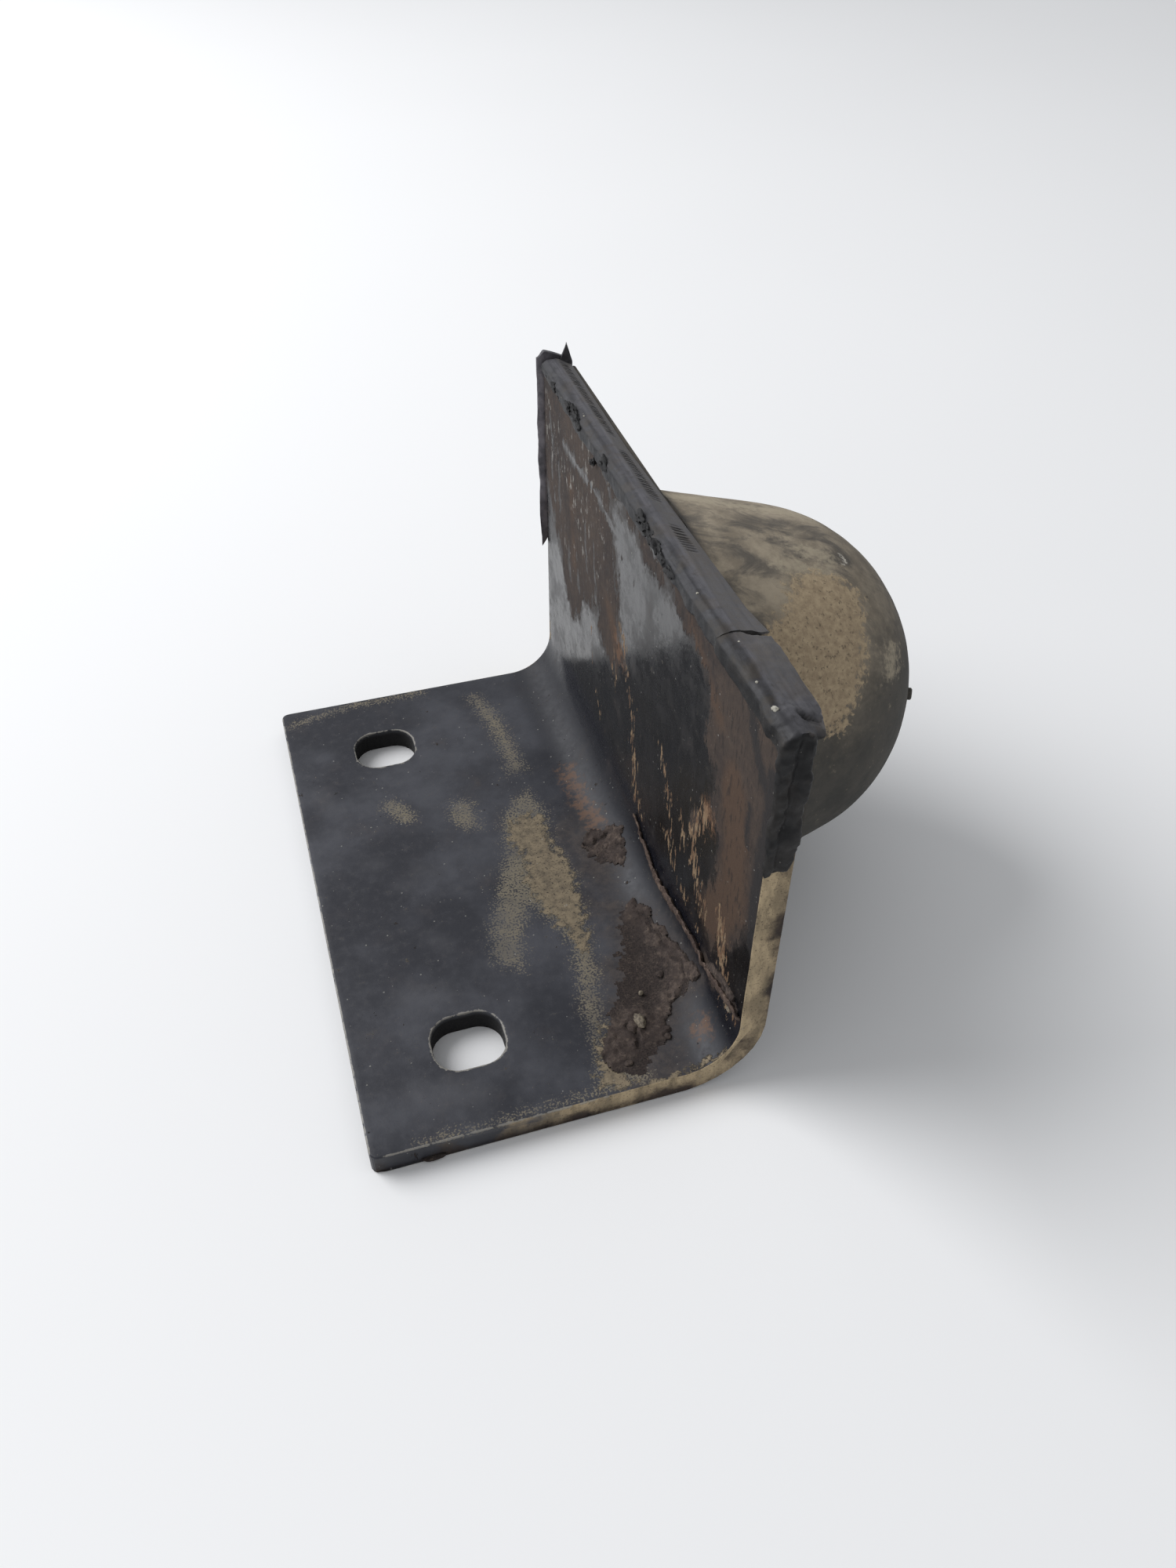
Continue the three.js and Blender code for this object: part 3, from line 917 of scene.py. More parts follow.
def build_bracket():
    half = REAR_Y - EDGE_RADIUS
    turns = np.radians(np.arange(90, -1, -22.5))
    start = [(-half - EDGE_RADIUS * math.sin(turn), EDGE_RADIUS * math.cos(turn)) for turn in turns]
    middle = [(y, EDGE_RADIUS) for y in np.linspace(-half, half, round(2 * half))[1:-1]]
    stations = start + middle + [(-y, radius) for y, radius in start[::-1]]
    rings = []
    for y, radius in stations:
        ring = matched_ring(max(radius, 0.02), EDGE_RADIUS)
        rings.append(on_plate(ring[:, 0], y, ring[:, 1]))
    steel = swept("bracket_steel", rings)
    set_points(steel, round_free_corners(points_of(steel)))
    for centre in SLOT_CENTRES:
        combine(steel, slot_cutter(centre), "DIFFERENCE")
    steel_fields(steel)
    return finished(steel, steel_finish(), ["mounting_bracket"])


# ---------- Buffer

# Bare tan patch on the dome's front, as (distance from the upright's outer face, degrees down from the top)
DOME_TAN_PATCH = [
    (21, 24), (27, 21), (34, 23), (37.5, 29), (36.5, 41), (34.5, 53), (32, 60), (29, 67), (26, 72),
    (22, 70), (16, 66), (9, 58), (7, 46), (12, 38), (18, 33),
]
DOME_SMUDGES = [
    (8, [(19, -1), (27, -2), (34, 2)]),
    (5, [(34, 2), (38, 8), (37, 15)]),
    (6, [(2, 11), (8, 12), (14, 17)]),
    (4, [(2, 2), (3.5, 20), (6, 32), (8, 40)]),
    (4, [(22, 10), (26, 14)]),
]
DOME_PALE_STROKES = [
    (3.6, [(21, 18), (26, 20), (31, 21)]),
    (3.2, [(27, 12), (32, 13), (33, 16)]),
    (6, [(4, -14), (22, -13), (36, -12)]),
    (4, [(44, 50), (43, 58)]),
]
DOME_SCRATCH = [(0.9, [(37.5, 11), (38, 15), (36.5, 17)])]


def lathe(name, profile, around, turn):
    """A solid of revolution from (height on the axis, radius) points, turned and moved by a matrix."""
    angles = np.arange(around) / around * 2 * math.pi
    rings = [
        np.stack([np.full(around, height), radius * np.cos(angles), radius * np.sin(angles)], axis=1)
        for height, radius in profile
    ]
    solid = swept(name, rings)
    places = np.concatenate([points_of(solid), np.ones((len(solid.data.vertices), 1))], axis=1)
    set_points(solid, (places @ np.array(turn).T)[:, :3])
    return solid


def dome_profile():
    tangent = (NOSE_X + NOSE_RADIUS * math.sin(CONE_ANGLE), NOSE_RADIUS * math.cos(CONE_ANGLE))
    fillet = 1.6
    profile = [(BEND_X, BASE_RADIUS), (SKIN_X, BASE_RADIUS)]
    for share in np.linspace(0, 1, 5):
        cone_radius = BASE_RADIUS - (SKIN_X - OUTER_X + share * fillet) * math.tan(CONE_ANGLE)
        profile.append((SKIN_X + share * fillet, cone_radius + fillet * 0.6 * (1 - share) ** 2))
    first = profile[-1]
    along, down = tangent[0] - first[0], tangent[1] - first[1]
    count = round(along)
    profile += [(first[0] + share * along, first[1] + share * down) for share in np.arange(1, count) / count]
    for angle in np.linspace(CONE_ANGLE, math.radians(89.6), 56):
        profile.append((NOSE_X + NOSE_RADIUS * math.sin(angle), NOSE_RADIUS * math.cos(angle)))
    return profile


def skin_solid():
    """The rubber on the upright's outer face beside the dome, with worn lower edges."""
    top, step = STEEL_TOP, 1.5
    outline = []
    for y in np.arange(FRONT_Y + SKIN_SETBACK, 0, step):
        outline.append((y, FRONT_SKIN_BOTTOM + 0.7 * noise.noise((y / 5, 0, 0))))
    for y in np.arange(0, REAR_Y - 0.1, step):
        outline.append((y, REAR_SKIN_BOTTOM + 0.7 * noise.noise((y / 5, 3, 0))))
    outline += [(REAR_Y, REAR_SKIN_BOTTOM), (REAR_Y, top), (FRONT_Y + SKIN_SETBACK, top)]
    edge = 0.5
    rings = []
    for x, pull in ((OUTER_X + BOND_GAP, 0), (SKIN_X - edge, 0), (SKIN_X - 0.15, 0.15), (SKIN_X, edge)):
        ring = np.array([(x, y * (1 - pull / REAR_Y), z + pull * (1 if z < top else -1)) for y, z in outline])
        rings.append(ring)
    return swept("skin", rings)


def bond_cutter():
    """Everything on the bracket's side of the bond."""
    far = 120.0
    outline = [(FREE_X - far, -far), (BEND_X, -far), (BEND_X, -BOND_GAP)]
    for turn in np.radians(np.arange(3, 91, 3)):
        reach = BEND_RADIUS + PLATE + BOND_GAP
        outline.append((BEND_X + reach * math.sin(turn), BEND_Z - reach * math.cos(turn)))
    outline += [(OUTER_X + BOND_GAP, 2 * far), (FREE_X - far, 2 * far)]
    return swept("bond_cutter", [[(x, y, z) for x, z in outline] for y in (-far, far)])


def build_dome():
    on_axis = Matrix.Translation((0, 0, AXIS_Z))
    dome = lathe("rubber_buffer", dome_profile(), 270, on_axis)
    places = points_of(dome)
    swell = 0.16 * rough_at(places, 22, 3, seed=1) + 0.05 * rough_at(places, 5, 4, seed=2)
    set_points(dome, places + normals_of(dome) * (swell * (places[:, 0] > SKIN_X + 2))[:, None])
    combine(dome, bond_cutter(), "DIFFERENCE")
    combine(dome, skin_solid(), "UNION")
    pip = [(NOSE_RADIUS - 1, PIP_RADIUS), (NOSE_RADIUS + PIP_HEIGHT * 0.6, PIP_RADIUS),
           (NOSE_RADIUS + PIP_HEIGHT * 0.95, PIP_RADIUS * 0.75), (NOSE_RADIUS + PIP_HEIGHT, PIP_RADIUS * 0.4)]
    turn = Matrix.Rotation(PIP_AZIMUTH, 4, "Z") @ Matrix.Rotation(-PIP_ELEVATION, 4, "Y")
    combine(dome, lathe("pip", pip, 24, Matrix.Translation((NOSE_X, 0, AXIS_Z)) @ turn), "UNION")
    dome_fields(dome)
    return finished(dome, dome_finish(), ["buffer_dome"])


def dome_fields(dome):
    places = points_of(dome)
    reach = places[:, 0] - OUTER_X
    tilt = np.degrees(np.arctan2(-places[:, 1], places[:, 2] - AXIS_Z))
    spots = np.stack([reach, tilt], axis=1)
    set_field(dome, "tan_patch", patches(spots, [DOME_TAN_PATCH], 5.0))
    set_field(dome, "tan_fade", smoothstep(0.6 * (tilt - 20) + 0.8 * (reach - 14), 0, 18))
    set_field(dome, "smudge", strokes(spots, DOME_SMUDGES, 7.0))
    set_field(dome, "pale", strokes(spots, DOME_PALE_STROKES, 4.0))
    set_field(dome, "scratch", strokes(spots, DOME_SCRATCH, 0.9))
    up = (places[:, 2] - AXIS_Z) / BASE_RADIUS
    # Dust thickest on top; its fall towards the bottom and towards the nose is also painted shade
    set_field(dome, "dust_and_shade", smoothstep(up, -0.1, 0.88) - 0.27 * smoothstep(reach, 26, 54))
    set_field(dome, "skin", fall(reach, 2.4, 5.0))


def dome_finish():
    """Dark rubber under a coat of tan dust that is thickest on top and on one patch; its fall towards the
    bottom and the nose is also painted shade.
    """
    s = Shader("dusty_rubber")
    fine = s.noise(0.45, detail=3)
    grain = s.noise(1.5, detail=7, rough=0.65)
    coarse = s.noise(8, detail=7, rough=0.65)
    broad = s.noise(22, detail=3)
    swirl = s.noise(9, detail=7, rough=0.7, stretch=(1.6, 0.7, 1), warp=0.8)

    rubber = s.blend(s.step(coarse, 0.35, 0.65), (66, 65, 62), (80, 77, 72))
    dust = s.blend(s.step(coarse, 0.35, 0.65), (130, 120, 105), (164, 152, 133))
    dust = s.tint(dust, s.step(swirl, 0.48, 0.6), 0.4, (100, 95, 88))
    # Dust cover that is also painted shade, darker low down and at the nose
    dust_and_shade_cover = s.add(s.field("dust_and_shade"), s.scale(s.add(broad, -0.5), 0.5))
    dust_and_shade_cover = s.add(dust_and_shade_cover, s.scale(s.add(grain, -0.5), 0.35))
    look = s.blend(s.step(dust_and_shade_cover, 0.0, 1.0), rubber, dust)

    smudge = s.ragged(s.field("smudge"), swirl, 2.2, 0.3)
    look = s.tint(look, smudge, 0.7, (80, 77, 74))
    pale = s.ragged(s.field("pale"), grain, 2.2, 0.3)
    look = s.tint(look, pale, 0.7, (172, 161, 140))
    tan = s.blend(s.step(grain, 0.3, 0.7), (148, 130, 106), (180, 161, 132))
    fleck = s.noise(0.9, detail=4, rough=0.6)
    tan = s.tint(tan, s.step(fleck, 0.57, 0.65), 0.6, (86, 77, 65))
    is_tan = s.ragged(s.field("tan_patch"), grain, 1.6, 0.12)
    fade = s.step(s.add(s.field("tan_fade"), s.scale(s.add(grain, -0.5), 1.4)), 0.1, 0.75)
    is_tan = s.scale(is_tan, s.between(fade, 0.15, 0.95))
    look = s.blend(is_tan, look, tan)
    look = s.blend(s.ragged(s.field("scratch"), fine, 1.0, 0.1), look, (184, 178, 166))
    look = s.tint(look, s.field("skin"), 0.8, (44, 44, 45))
    speck = s.step(s.cells(4.5), 0.06, 0.04)
    look = s.tint(look, speck, 0.6, (60, 55, 48))
    s.link("Base Color", look)
    s.link("Roughness", s.between(grain, 0.74, 0.98))
    s.set_specular(0.3)
    s.bump((coarse, 0.10), (swirl, 0.06), (s.scale(is_tan, grain), 0.10), (fine, 0.03))
    return s.material


# ---------- Lips

TICK_PITCH = 1.05
TICK_DEPTH = 0.5
TICK_STRETCHES = ((71, 33), (24, 4), (-8, -16))
BAND_WIDTH = 5.0
BAND_DROP = 2.0
# Torn spots on the inner edge, as (y, width)
TORN_SPOTS = ((48, 3.0), (43, 3.5), (22.5, 2.5), (-3, 3.0), (-8, 3.0), (-13, 3.5), (-20, 2.5), (63, 2.0))


# How far the outer edge stands out, as (y, distance)
OUTER_EDGE = (
    (-74, -1.6), (-71, 0.2), (-66, 1.5), (-44, 1.5), (-36, 0.4), (-10, -0.3), (28, -1.5), (72, -1.1),
)
# The crack across the corner's top starts at this place and runs back at this slope
CRACK_X, CRACK_Y, CRACK_SLOPE, CRACK_DEPTH = 59, -69, 0.9, 1.6
# The fold down the corner's front leans with this slope
FOLD_X, FOLD_Z, FOLD_SLOPE, FOLD_DEPTH = 55.6, 80, 0.05, 0.6


def lip_outline():
    """The hooked section of the top lip as (x, z), with rounded corners and points close together.

    Its top is flat over the plate's inner half and falls away outwards.
    """
    lap_x, seat_x = TOP_LIP_LOW[0], INNER_X - BOND_GAP
    seat_z, bottom = STEEL_TOP + BOND_GAP, TOP_LIP_LOW[2] + 1.2
    hook = [(lap_x + 0.5, bottom), (seat_x, bottom), (seat_x, seat_z), (SKIN_X, seat_z),
            (SKIN_X, LIP_TOP - BAND_DROP), (SKIN_X - BAND_WIDTH, LIP_TOP), (lap_x + 2.0, LIP_TOP),
            (lap_x + 0.5, LIP_TOP - 1.1)]
    points = []
    for (ax, az), (bx, bz) in zip(hook, hook[1:] + hook[:1]):
        count = max(2, round(math.hypot(bx - ax, bz - az) / 0.4))
        points += [(ax + (bx - ax) * share, az + (bz - az) * share) for share in np.arange(count) / count]
    points = np.array(points)
    return (np.roll(points, 1, axis=0) + 2 * points + np.roll(points, -1, axis=0)) / 4


def spread_outwards(points):
    """The lip's outer edge stands out further towards the front of the part."""
    x, y = points[:, 0], points[:, 1]
    reach = np.interp(y, *zip(*OUTER_EDGE))
    points[:, 0] = x + reach * smoothstep(x, OUTER_X - 2.5, SKIN_X)
    return points


def tick_mask(y):
    mask = np.zeros_like(y)
    for high, low in TICK_STRETCHES:
        mask = np.maximum(mask, smoothstep(y, low - 2, low + 1) * fall(y, high - 1, high + 2))
    return mask


def worn_lip(points):
    """Grooves along the lip's top, moulded ticks on its outer edge and a torn inner edge."""
    x, y, z = points.T.copy()
    along = rough_at(points, (0.9, 14.0, 2.0), 4, seed=3)
    wave = rough_at(points, 9, 3, seed=4)
    top = smoothstep(z, LIP_TOP - 0.9, LIP_TOP - 0.2)
    inner = fall(x, INNER_X - 0.6, INNER_X + 1.6)
    z = z + top * (0.10 * along + 0.16 * wave)
    z = z - TICK_DEPTH * tick_rise(points) * smoothstep(z, LIP_TOP - 2.3, LIP_TOP - 1.6)
    x = x + inner * 0.25 * rough_at(points, (9, 4.0, 5), 4, seed=6)
    for centre, width in TORN_SPOTS:
        bite = np.exp(-((y - centre) / width * 1.6) ** 2) * inner
        ragged = 0.6 + 0.6 * rough_at(points, 1.3, 3, seed=7)
        z = z - 0.9 * bite * ragged * top
    hanging = fall(z, 95, 97.5) * inner
    lift = 0.8 + 1.6 * smoothstep(y, 50, 62)
    z = z + hanging * (lift + 0.9 * rough_at(flat_points(y, y * 0), 5, 4, seed=8))
    return spread_outwards(np.stack([x, y, z], axis=1))


def tick_rise(points):
    """The moulded ticks on the lip's outer band, from 0 to 1."""
    phase = (points[:, 1] + 0.5 * rough_at(points, (9, 3, 9), 2, seed=5)) / TICK_PITCH
    tick = smoothstep(np.cos(2 * math.pi * phase), 0.1, 0.8) * tick_mask(points[:, 1])
    x = points[:, 0]
    start = SKIN_X - BAND_WIDTH
    return tick * smoothstep(x, start + 0.2, start + 0.8) * fall(x, start + 2.8, start + 3.4)


def lip_fields(lip, points):
    """Marks the outer band, lightened as painted light; the inner edge, dark with torn rubber and painted
    shade; and the ticks, whose grooves get painted shade; from the points as they were moulded.
    """
    x, y, z = points.T
    start = SKIN_X - BAND_WIDTH
    set_field(lip, "band", smoothstep(x, start - 0.6, start + 0.4) * smoothstep(y, -64, -52))
    reach = INNER_X + np.interp(y, [-60, 0], [1.2, 0.4])
    inner = fall(x + 0.6 * rough_at(points, 3, 3, seed=17) - reach, 0, 1.6)
    inner = inner * np.interp(y, [-40, 20], [1.0, 0.8])
    set_field(lip, "inner", np.maximum(inner, 0.6 * fall(y, -72, -65)))
    set_field(lip, "ticks", tick_rise(points) * smoothstep(z, LIP_TOP - 2.5, LIP_TOP - 1.8))


def build_top_lip():
    outline = lip_outline()
    low, high = TOP_LIP_LOW[1], TOP_LIP_HIGH[1]
    rings = []
    for y in np.linspace(low, high, round((high - low) / 0.25)):
        rings.append(np.stack([outline[:, 0], np.full(len(outline), y), outline[:, 1]], axis=1))
    lip = swept("worn_top_lip", rings)
    moulded = points_of(lip)
    points = worn_lip(moulded)
    ends = smoothstep(points[:, 1], high - 2, high) - fall(points[:, 1], low, low + 1)
    points[:, 1] += ends * 0.5 * rough_at(points, 2.5, 3, seed=9)
    set_points(lip, points)
    lip_fields(lip, moulded)
    finish = lip_finish("lip_rubber_worn", 1.0, (24, 25, 28), (44, 45, 48))
    return finished(lip, finish, ["top_lip"], 50)


def prism(name, outline, from_y, to_y):
    return swept(name, [[(x, y, z) for x, z in outline] for y in (from_y, to_y)])


def smoothed(thing, turns):
    step = thing.modifiers.new("smooth", "SMOOTH")
    step.iterations = turns
    return applied(thing)


def build_corner_lip():
    """The front end of the top lip and the lip down the front side edge, in one soft-edged piece."""
    side_x = CORNER_LOW[0] + 0.5
    far_x = OUTER_X + 0.1
    bottom = CORNER_LOW[2]
    side = [(side_x, bottom), (OUTER_X - 1, bottom + 1.7), (far_x, bottom + 4.5), (far_x, LIP_TOP - 1.2),
            (far_x - 1.5, LIP_TOP - 0.2), (side_x + 1.4, LIP_TOP - 0.2), (side_x, LIP_TOP - 1.6)]
    lip = prism("front_lip", side, CORNER_LOW[1] - 0.3, FRONT_Y - BOND_GAP)
    top = prism("front_top", lip_outline().tolist(), CORNER_LOW[1] + 0.2, CORNER_HIGH[1])
    combine(lip, top, "UNION")
    remeshed(lip, 0.4)
    moulded = points_of(lip)
    set_points(lip, spread_outwards(moulded.copy()))
    smoothed(lip, 5)
    points, normals = points_of(lip), normals_of(lip)
    x, y, z = points.T.copy()
    along = rough_at(points, (0.9, 14.0, 2.0), 4, seed=3)
    down = rough_at(points, (2.2, 9.0, 16.0), 3, seed=11)
    top = smoothstep(normals[:, 2], 0.5, 0.9)
    swell = 0.28 * rough_at(points, 6, 4, seed=10) + 0.10 * along * top + 0.32 * down * (1 - top)
    swell = swell + 0.5 * fall(y, -71, -58) * rough_at(points, 3.2, 4, seed=16)
    crack = np.abs(y - CRACK_Y + CRACK_SLOPE * (x - CRACK_X) + 0.5 * rough_at(points, 2, 2, seed=12))
    cracked = fall(crack, 0.2, 1.0) * smoothstep(x, 57, 60) * smoothstep(normals[:, 2], 0, 0.5)
    fold = np.abs(x - FOLD_X - FOLD_SLOPE * (z - FOLD_Z))
    folded = fall(fold, 0.2, 1.3) * smoothstep(-normals[:, 1], 0.3, 0.8)
    points += normals * (swell - CRACK_DEPTH * cracked - FOLD_DEPTH * folded)[:, None]
    closing = fall(points[:, 0], 56.5, 58.5)
    points[:, 1] += 1.3 * closing * smoothstep(points[:, 1], CORNER_HIGH[1] - 2, CORNER_HIGH[1])
    ragged = 1.2 * rough_at(points / np.array([1, 3, 8]), 3.0, 3, seed=13)
    points[:, 2] += fall(points[:, 2], bottom, bottom + 8) * ragged
    set_points(lip, points)
    lip_fields(lip, moulded)
    lip.name = "worn_front_corner_lip"
    # Darker rubber than the top lip: painted shade on the front corner
    finish = lip_finish("lip_rubber_corner_painted_shade", 0.6, (9, 9, 11), (24, 24, 27))
    return finished(lip, finish, ["front_corner_lip"], 60)


def build_rear_lip():
    """The lip on the rear side edge: peeling from the steel, with a worn point at its lower end."""
    low, high = REAR_LIP_LOW, REAR_LIP_HIGH
    across, down = np.meshgrid(np.linspace(0, 1, 25), np.linspace(0, 1, 140))
    x = low[0] + across * (high[0] - 0.8 - low[0])
    bottom = low[2] + 12 * across
    top = high[2] - 3.5 * across ** 1.6 - 2.2 * fall(across, 0, 0.22)
    z = bottom + down * (top - bottom)
    edge = 1 - np.abs(across * 2 - 1)
    ripple = rough_at(flat_points(x.ravel(), z.ravel()), 7, 4, seed=14).reshape(x.shape)
    x = x + 0.35 * ripple * (1 - edge)
    worn_end = fall(z, low[2] + 12, low[2] + 18)
    peel = (0.1 + 1.3 * worn_end) * smoothstep(z, low[2], low[2] + 8) * (1 - across)
    peel = peel * (0.75 + 0.5 * ripple) + 0.2 * smoothstep(z, high[2] - 14, high[2] - 4) * (1 - across) ** 2
    rim = 1 - np.clip(across * (high[0] - 0.8 - low[0]) / 1.4, 0, 1)
    inner = low[1] + 0.1 + peel + 1.0 * rim ** 1.2 * (1 - worn_end) + 0.18 * (1 + ripple)
    thick = (1.2 - 0.8 * smoothstep(across, 0.75, 1) - 0.8 * rim) * (1 - 0.65 * worn_end)
    inside = np.stack([x, inner, z], axis=-1)
    outside = np.stack([x, inner + thick, z], axis=-1)
    lip = shell("worn_rear_side_lip", outside, inside)
    # Paler rubber than the other lips: painted light on the rear lip's face
    finish = lip_finish("lip_rubber_side_painted_light", 0.5, (68, 66, 70), (116, 112, 118))
    return finished(lip, finish, ["rear_side_lip"], 50)


def build_torn_flap():
    """A small flap torn from the top lip's rear end, standing up a few millimetres."""
    across, up = np.meshgrid(np.linspace(0, 1, 15), np.linspace(0, 1, 15))
    narrow = 1 - 0.85 * up
    x = 57.2 + 3.6 * (0.5 + (across - 0.5) * narrow) + 0.8 * up
    y = 72.3 + 1.6 * up + 0.6 * across
    z = LIP_TOP - 1.2 + 4.2 * up * (1 - 0.4 * np.abs(across - 0.45))
    bump = rough_at(np.stack([x, y, z], axis=-1).reshape(-1, 3), 1.5, 3, seed=15).reshape(x.shape)
    front = np.stack([x, y - 0.45 * (1 - 0.6 * up) + 0.15 * bump, z], axis=-1)
    back = np.stack([x, y + 0.45 * (1 - 0.6 * up) + 0.15 * bump, z], axis=-1)
    flap = shell("torn_lip_flap", front, back)
    finish = lip_finish("lip_rubber_flap", 0.5, (30, 29, 31), (60, 58, 60))
    return finished(flap, finish, sharp=50)


def lip_finish(name, streaks, dark, pale):
    """Black rubber, greyed on top by dust and by a painted blue-grey sheen, with fine lines along it."""
    s = Shader(name)
    fine = s.noise(0.35, detail=3)
    grain = s.noise(1.6, detail=6, rough=0.65)
    coarse = s.noise(6, detail=6, rough=0.6)
    lines = s.noise(1.1, detail=5, rough=0.6, stretch=(1, 22, 1))
    up = s.step(s.facing_up(), 0.3, 0.97)

    black = s.blend(s.step(coarse, 0.4, 0.66), dark, pale)
    dust_and_sheen_grey = s.blend(s.scale(s.step(lines, 0.3, 0.7), streaks), (76, 75, 79), (102, 101, 105))
    dust_and_sheen_grey = s.tint(dust_and_sheen_grey, s.step(grain, 0.5, 0.7), 0.5, (52, 50, 50))
    # Up-facing faces turn grey: dust, and a painted blue-grey sheen of the sky
    look = s.blend(s.scale(up, 0.9), black, dust_and_sheen_grey)
    # Painted light: the outer band, which slopes away from the lamp, is lightened
    band = s.scale(s.field("band"), s.between(s.step(grain, 0.35, 0.65), 0.35, 0.85))
    look = s.blend(band, look, (96, 93, 91))
    # Painted shade in the grooves of the moulded ticks
    look = s.tint(look, s.field("ticks"), 0.85, (16, 16, 17))
    # The inner edge is darkened: torn black rubber, and painted shade over the edge that the lamp lights
    look = s.blend(s.scale(s.field("inner"), s.between(s.step(coarse, 0.4, 0.6), 0.55, 0.95)), look, dark)
    dirt = s.scale(s.step(s.add(coarse, s.scale(grain, 0.3)), 0.60, 0.78), s.between(up, 0.1, 0.3))
    look = s.blend(dirt, look, (92, 84, 76))
    speck = s.step(s.cells(3.2), 0.07, 0.045)
    look = s.tint(look, speck, 0.4, (140, 136, 130))
    s.link("Base Color", look)
    s.link("Roughness", s.between(grain, 0.42, 0.72))
    s.set_specular(0.3)
    s.bump((s.scale(lines, streaks), 0.08), (grain, 0.07), (fine, 0.02))
    return s.material


# ---------- Dirt with its own shape

# Lumps in the mud, as ((run, y), radii), and the one on the flange's front edge, as its centre and radii
MUD_LUMPS = (
    ((60.8, -57.5), (1.2, 1.7, 0.9)), ((67.5, -62), (0.8, 0.9, 0.5)), ((71.5, -46), (0.9, 1.1, 0.5)),
    ((72.4, -4), (0.9, 1.1, 0.5)), ((57, -66), (1.0, 0.8, 0.5)), ((79, -49), (0.8, 1.3, 0.5)),
)
EDGE_LUMP = (-12.6, FRONT_Y + 0.1, 0.7), (2.6, 0.7, 0.6)
MUD_SPACING = 0.45
SMALLEST_CRUMB = 24
# Scraps of rubber, as (x, y, z, size)
SCRAPS = (
    (52.7, 47.6, 99.2, 2.6), (52.9, 43.4, 98.6, 2.3), (52.9, 40.4, 98.4, 1.4), (52.9, 22.6, 98.3, 2.5),
    (52.8, -1.9, 98.9, 2.2), (52.8, -5.4, 98.6, 1.9), (52.9, -9, 98.2, 2.0), (52.8, -12.6, 98.4, 2.5),
    (52.9, -15.6, 98.0, 2.1), (52.9, -20, 97.4, 2.6), (52.9, 61, 98.2, 1.6), (52.9, 30, 95, 0.9),
)
# Pale grains on the lip, as (x, y, sunk, size), and stones in the mud, as (run, y, depth, radii, bumps)
GRAINS = (
    (54.3, -66.6, 0.15, 0.62), (54.0, -31.3, 0.2, 0.28), (55.6, -47.6, 0.1, 0.24), (54.2, -59.0, 0.15, 0.28),
    (54.4, 41.8, 0.1, 0.26),
)
STONES = (
    (62.8, -56.5, -0.7, (1.25, 1.9, 0.8), 0.35),
    (65.5, -49.5, -0.6, (0.6, 0.6, 0.5), 0.3),
    (87.5, -68, -0.9, (0.5, 0.9, 0.5), 0.3),
)


def filled(keep):
    """Closes pairs of cells that meet only at a corner, so the shell stays sound."""
    for _ in range(4):
        a, b, c, d = keep[:-1, :-1], keep[:-1, 1:], keep[1:, :-1], keep[1:, 1:]
        crossed = (a & d & ~b & ~c) | (b & c & ~a & ~d)
        if not crossed.any():
            break
        for part in (a, b, c, d):
            part |= crossed
    return keep


def large_parts(keep, least):
    """Drops every group of joined cells that has fewer cells than least."""
    left = {tuple(cell) for cell in np.argwhere(keep).tolist()}
    for start in sorted(left):
        if start not in left:
            continue
        left.remove(start)
        group, edge = [], [start]
        while edge:
            row, column = edge.pop()
            group.append((row, column))
            for cell in ((row + 1, column), (row - 1, column), (row, column + 1), (row, column - 1)):
                if cell in left:
                    left.remove(cell)
                    edge.append(cell)
        if len(group) < least:
            for cell in group:
                keep[cell] = False
    return keep


def mud_shell(outline, seed):
    """Dried mud as a thin shell on the plate, cracked and ragged at its edge."""
    low, high = np.min(outline, axis=0) - 3, np.max(outline, axis=0) + 3
    run, y = np.meshgrid(*(np.arange(start, end, MUD_SPACING) for start, end in zip(low, high)))
    places = np.stack([run.ravel(), y.ravel()], axis=1)
    flat = flat_points(*places.T)
    inside = inside_distance(places, outline) + 1.3 * rough_at(flat, 3.2, 5, seed=seed)
    inside = inside + 1.2 * rough_at(flat, 8, 3, seed=seed + 4)
    crumbs = rough_at(flat, 1.4, 4, seed=seed + 5)
    shift = [rough_at(flat, 2, 3, seed=seed + 1), rough_at(flat, 2, 3, seed=seed + 2)]
    wander = places + 0.5 * np.stack(shift, axis=1)
    crack, broken = (
        np.min([path_distance(wander, path) for path in paths], axis=0)
        for paths in (MUD_CRACKS, MUD_BROKEN_EDGES)
    )
    thick = fall(broken, 1.5, 7)
    near_edge = fall(inside, 0, 3.5)
    inside = inside + (1 - thick) * near_edge * (2.6 * crumbs - 0.4)
    rise = (0.05 + 0.55 * thick) * smoothstep(inside, 0, 1.0)
    rise = rise + (0.05 + 0.45 * thick) * rough_at(flat, 1.8, 5, seed=seed + 3)
    rise = np.maximum(rise, 0.05) * smoothstep(crack, 0.1, 0.75)
    rise = np.maximum(rise, 0.03).reshape(run.shape)
    there = (inside > 0).reshape(run.shape)
    keep = there[:-1, :-1] & there[1:, :-1] & there[:-1, 1:] & there[1:, 1:]
    keep = large_parts(filled(keep), SMALLEST_CRUMB)
    return shell("mud", on_plate(run, y, -rise), on_plate(run, y, 0.15), keep)


def build_mud():
    things = [mud_shell(outline, 20 + 5 * index) for index, outline in enumerate(MUD_PATCHES)]
    for index, ((run, y), radii) in enumerate(MUD_LUMPS):
        things.append(lump(on_plate(run, y, -0.2), radii, 40 + index))
    things.append(lump(*EDGE_LUMP, 50))
    mud = joined("dried_mud", things)
    run, y, depth = plate_places(points_of(mud))
    # Painted shade down the mud's cracks and at its lowest, thinnest parts
    set_field(mud, "crevice_shade", fall(-depth, 0.06, 0.5))
    return finished(mud, mud_finish("dried_mud", (60, 52, 49), (92, 81, 74)))


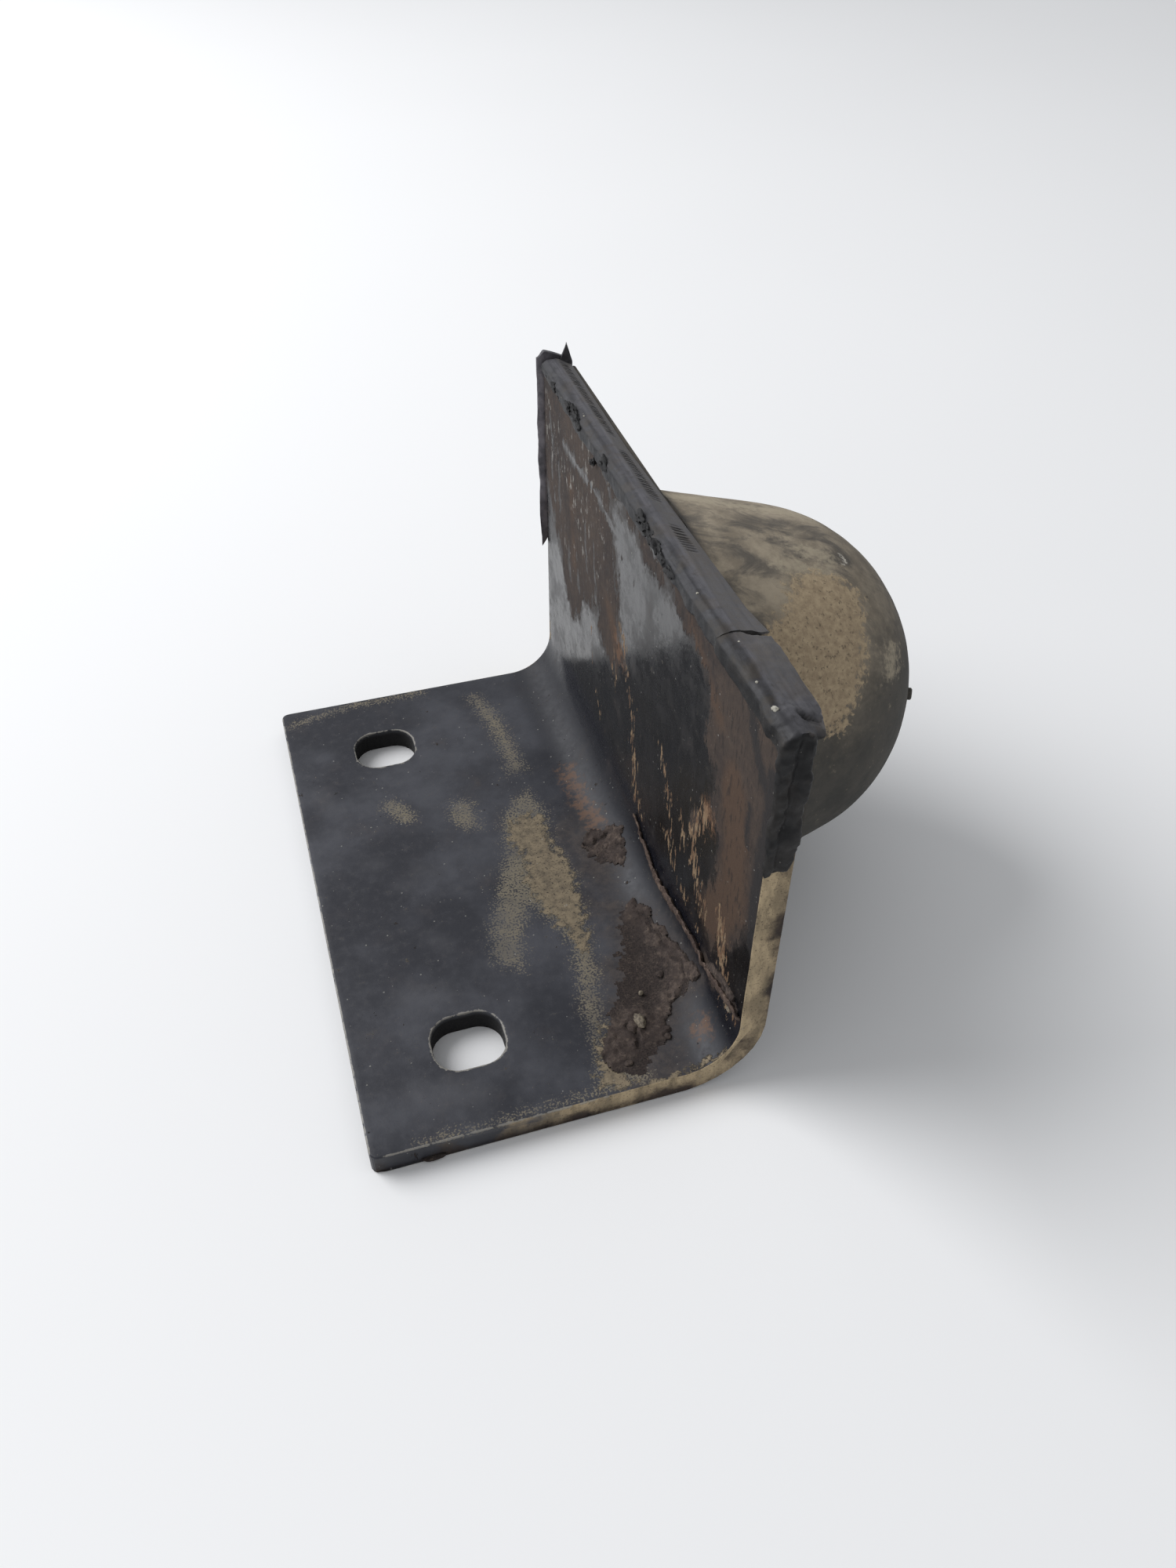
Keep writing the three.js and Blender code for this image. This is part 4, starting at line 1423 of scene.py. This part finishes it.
def build_ridge():
    """A thin crust curled off the bend, as a strip of changing width."""
    path = smooth_path(RIDGE_PATH, 0.4)
    count = len(path)
    share = np.linspace(0, 1, count)
    flat = flat_points(*path.T)
    width = (0.95 + 0.45 * rough_at(flat, 2.2, 4, seed=60)) * (0.3 + 0.7 * np.sin(math.pi * share) ** 0.4)
    width = width * (1.4 + 0.9 * smoothstep(share, 0.7, 0.85))
    lift = 0.25 + 0.5 * np.abs(rough_at(flat, 1.5, 4, seed=61))
    sway = 0.6 * rough_at(flat, 1.8, 4, seed=62)
    angles = np.arange(10) / 10 * 2 * math.pi
    rings = []
    for (run, y), wide, high, shift in zip(path, width, lift, sway):
        across = run + shift + wide * np.cos(angles) + 0.1 * np.sin(3 * angles)
        height = high + 0.45 * wide * np.sin(angles) + 0.35 * wide * np.cos(angles)
        rings.append(on_plate(across, y, -height))
    ridge = swept("crust_ridge", rings)
    run, y, depth = plate_places(points_of(ridge))
    # Painted shade along the foot of the crust
    set_field(ridge, "crevice_shade", fall(-depth, 0.0, 0.35))
    finish = mud_finish("rusty_crust", (66, 55, 51), (112, 96, 86))
    return finished(ridge, finish, sharp=50)


def mud_finish(name, dark, pale):
    s = Shader(name)
    fine = s.noise(0.4, detail=4, rough=0.6)
    grain = s.noise(1.4, detail=7, rough=0.7)
    coarse = s.noise(7, detail=4)
    look = s.blend(s.step(grain, 0.35, 0.65), dark, pale)
    look = s.tint(look, s.step(coarse, 0.42, 0.62), 0.7, dark)
    look = s.tint(look, s.step(grain, 0.56, 0.66), 0.4, (116, 102, 90))
    # Painted shade: darkened where the crust lies lowest on the plate, down cracks and along its foot
    sunk = s.scale(s.field("crevice_shade"), s.between(s.step(fine, 0.4, 0.6), 0.35, 0.85))
    look = s.blend(sunk, look, (42, 37, 36))
    look = s.blend(s.step(fine, 0.60, 0.68), look, (32, 28, 27))
    s.link("Base Color", look)
    s.link("Roughness", s.between(grain, 0.85, 1.0))
    s.set_specular(0.25)
    s.bump((grain, 0.2), (fine, 0.08))
    return s.material


def build_residue():
    """Torn scraps of rubber left along the top lip's inner edge."""
    things = []
    for index, (x, y, z, size) in enumerate(SCRAPS):
        radii = (0.5 + 0.16 * size, size * 0.95, 0.5 + 0.3 * size)
        things.append(lump((x, y, z), radii, 70 + index, bumps=0.75))
    residue = joined("torn_rubber_scraps", things)
    s = Shader("torn_rubber")
    grain = s.noise(0.8, detail=5)
    s.link("Base Color", s.blend(grain, (10, 10, 11), (32, 31, 32)))
    s.link("Roughness", s.between(grain, 0.6, 0.9))
    s.bump((grain, 0.15))
    return finished(residue, s.material)


def build_grit():
    """Pale grains and a small pebble stuck to the rubber and the dried mud."""
    things = []
    for index, (x, y, sunk, size) in enumerate(GRAINS):
        things.append(lump((x, y, LIP_TOP - sunk), (size, size, size * 0.7), 90 + index, bumps=0.4))
    for index, (run, y, depth, radii, bumps) in enumerate(STONES):
        things.append(lump(on_plate(run, y, depth), radii, 97 + index, bumps=bumps))
    grit = joined("pale_grit", things)
    set_field(grit, "stone", fall(points_of(grit)[:, 2], BEND_Z, STEEL_TOP))
    s = Shader("pale_grit")
    grain = s.noise(0.6, detail=5)
    stone = s.blend(s.step(grain, 0.35, 0.65), (84, 76, 66), (128, 118, 102))
    pale = s.blend(s.step(grain, 0.35, 0.65), (150, 146, 134), (184, 181, 170))
    s.link("Base Color", s.blend(s.field("stone"), pale, stone))
    s.link("Roughness", s.between(grain, 0.7, 0.95))
    s.bump((grain, 0.1))
    return finished(grit, s.material)


add_camera()
add_studio()
add_floor()
build_bracket()
build_dome()
build_top_lip()
build_corner_lip()
build_rear_lip()
build_torn_flap()
build_mud()
build_ridge()
build_residue()
build_grit()
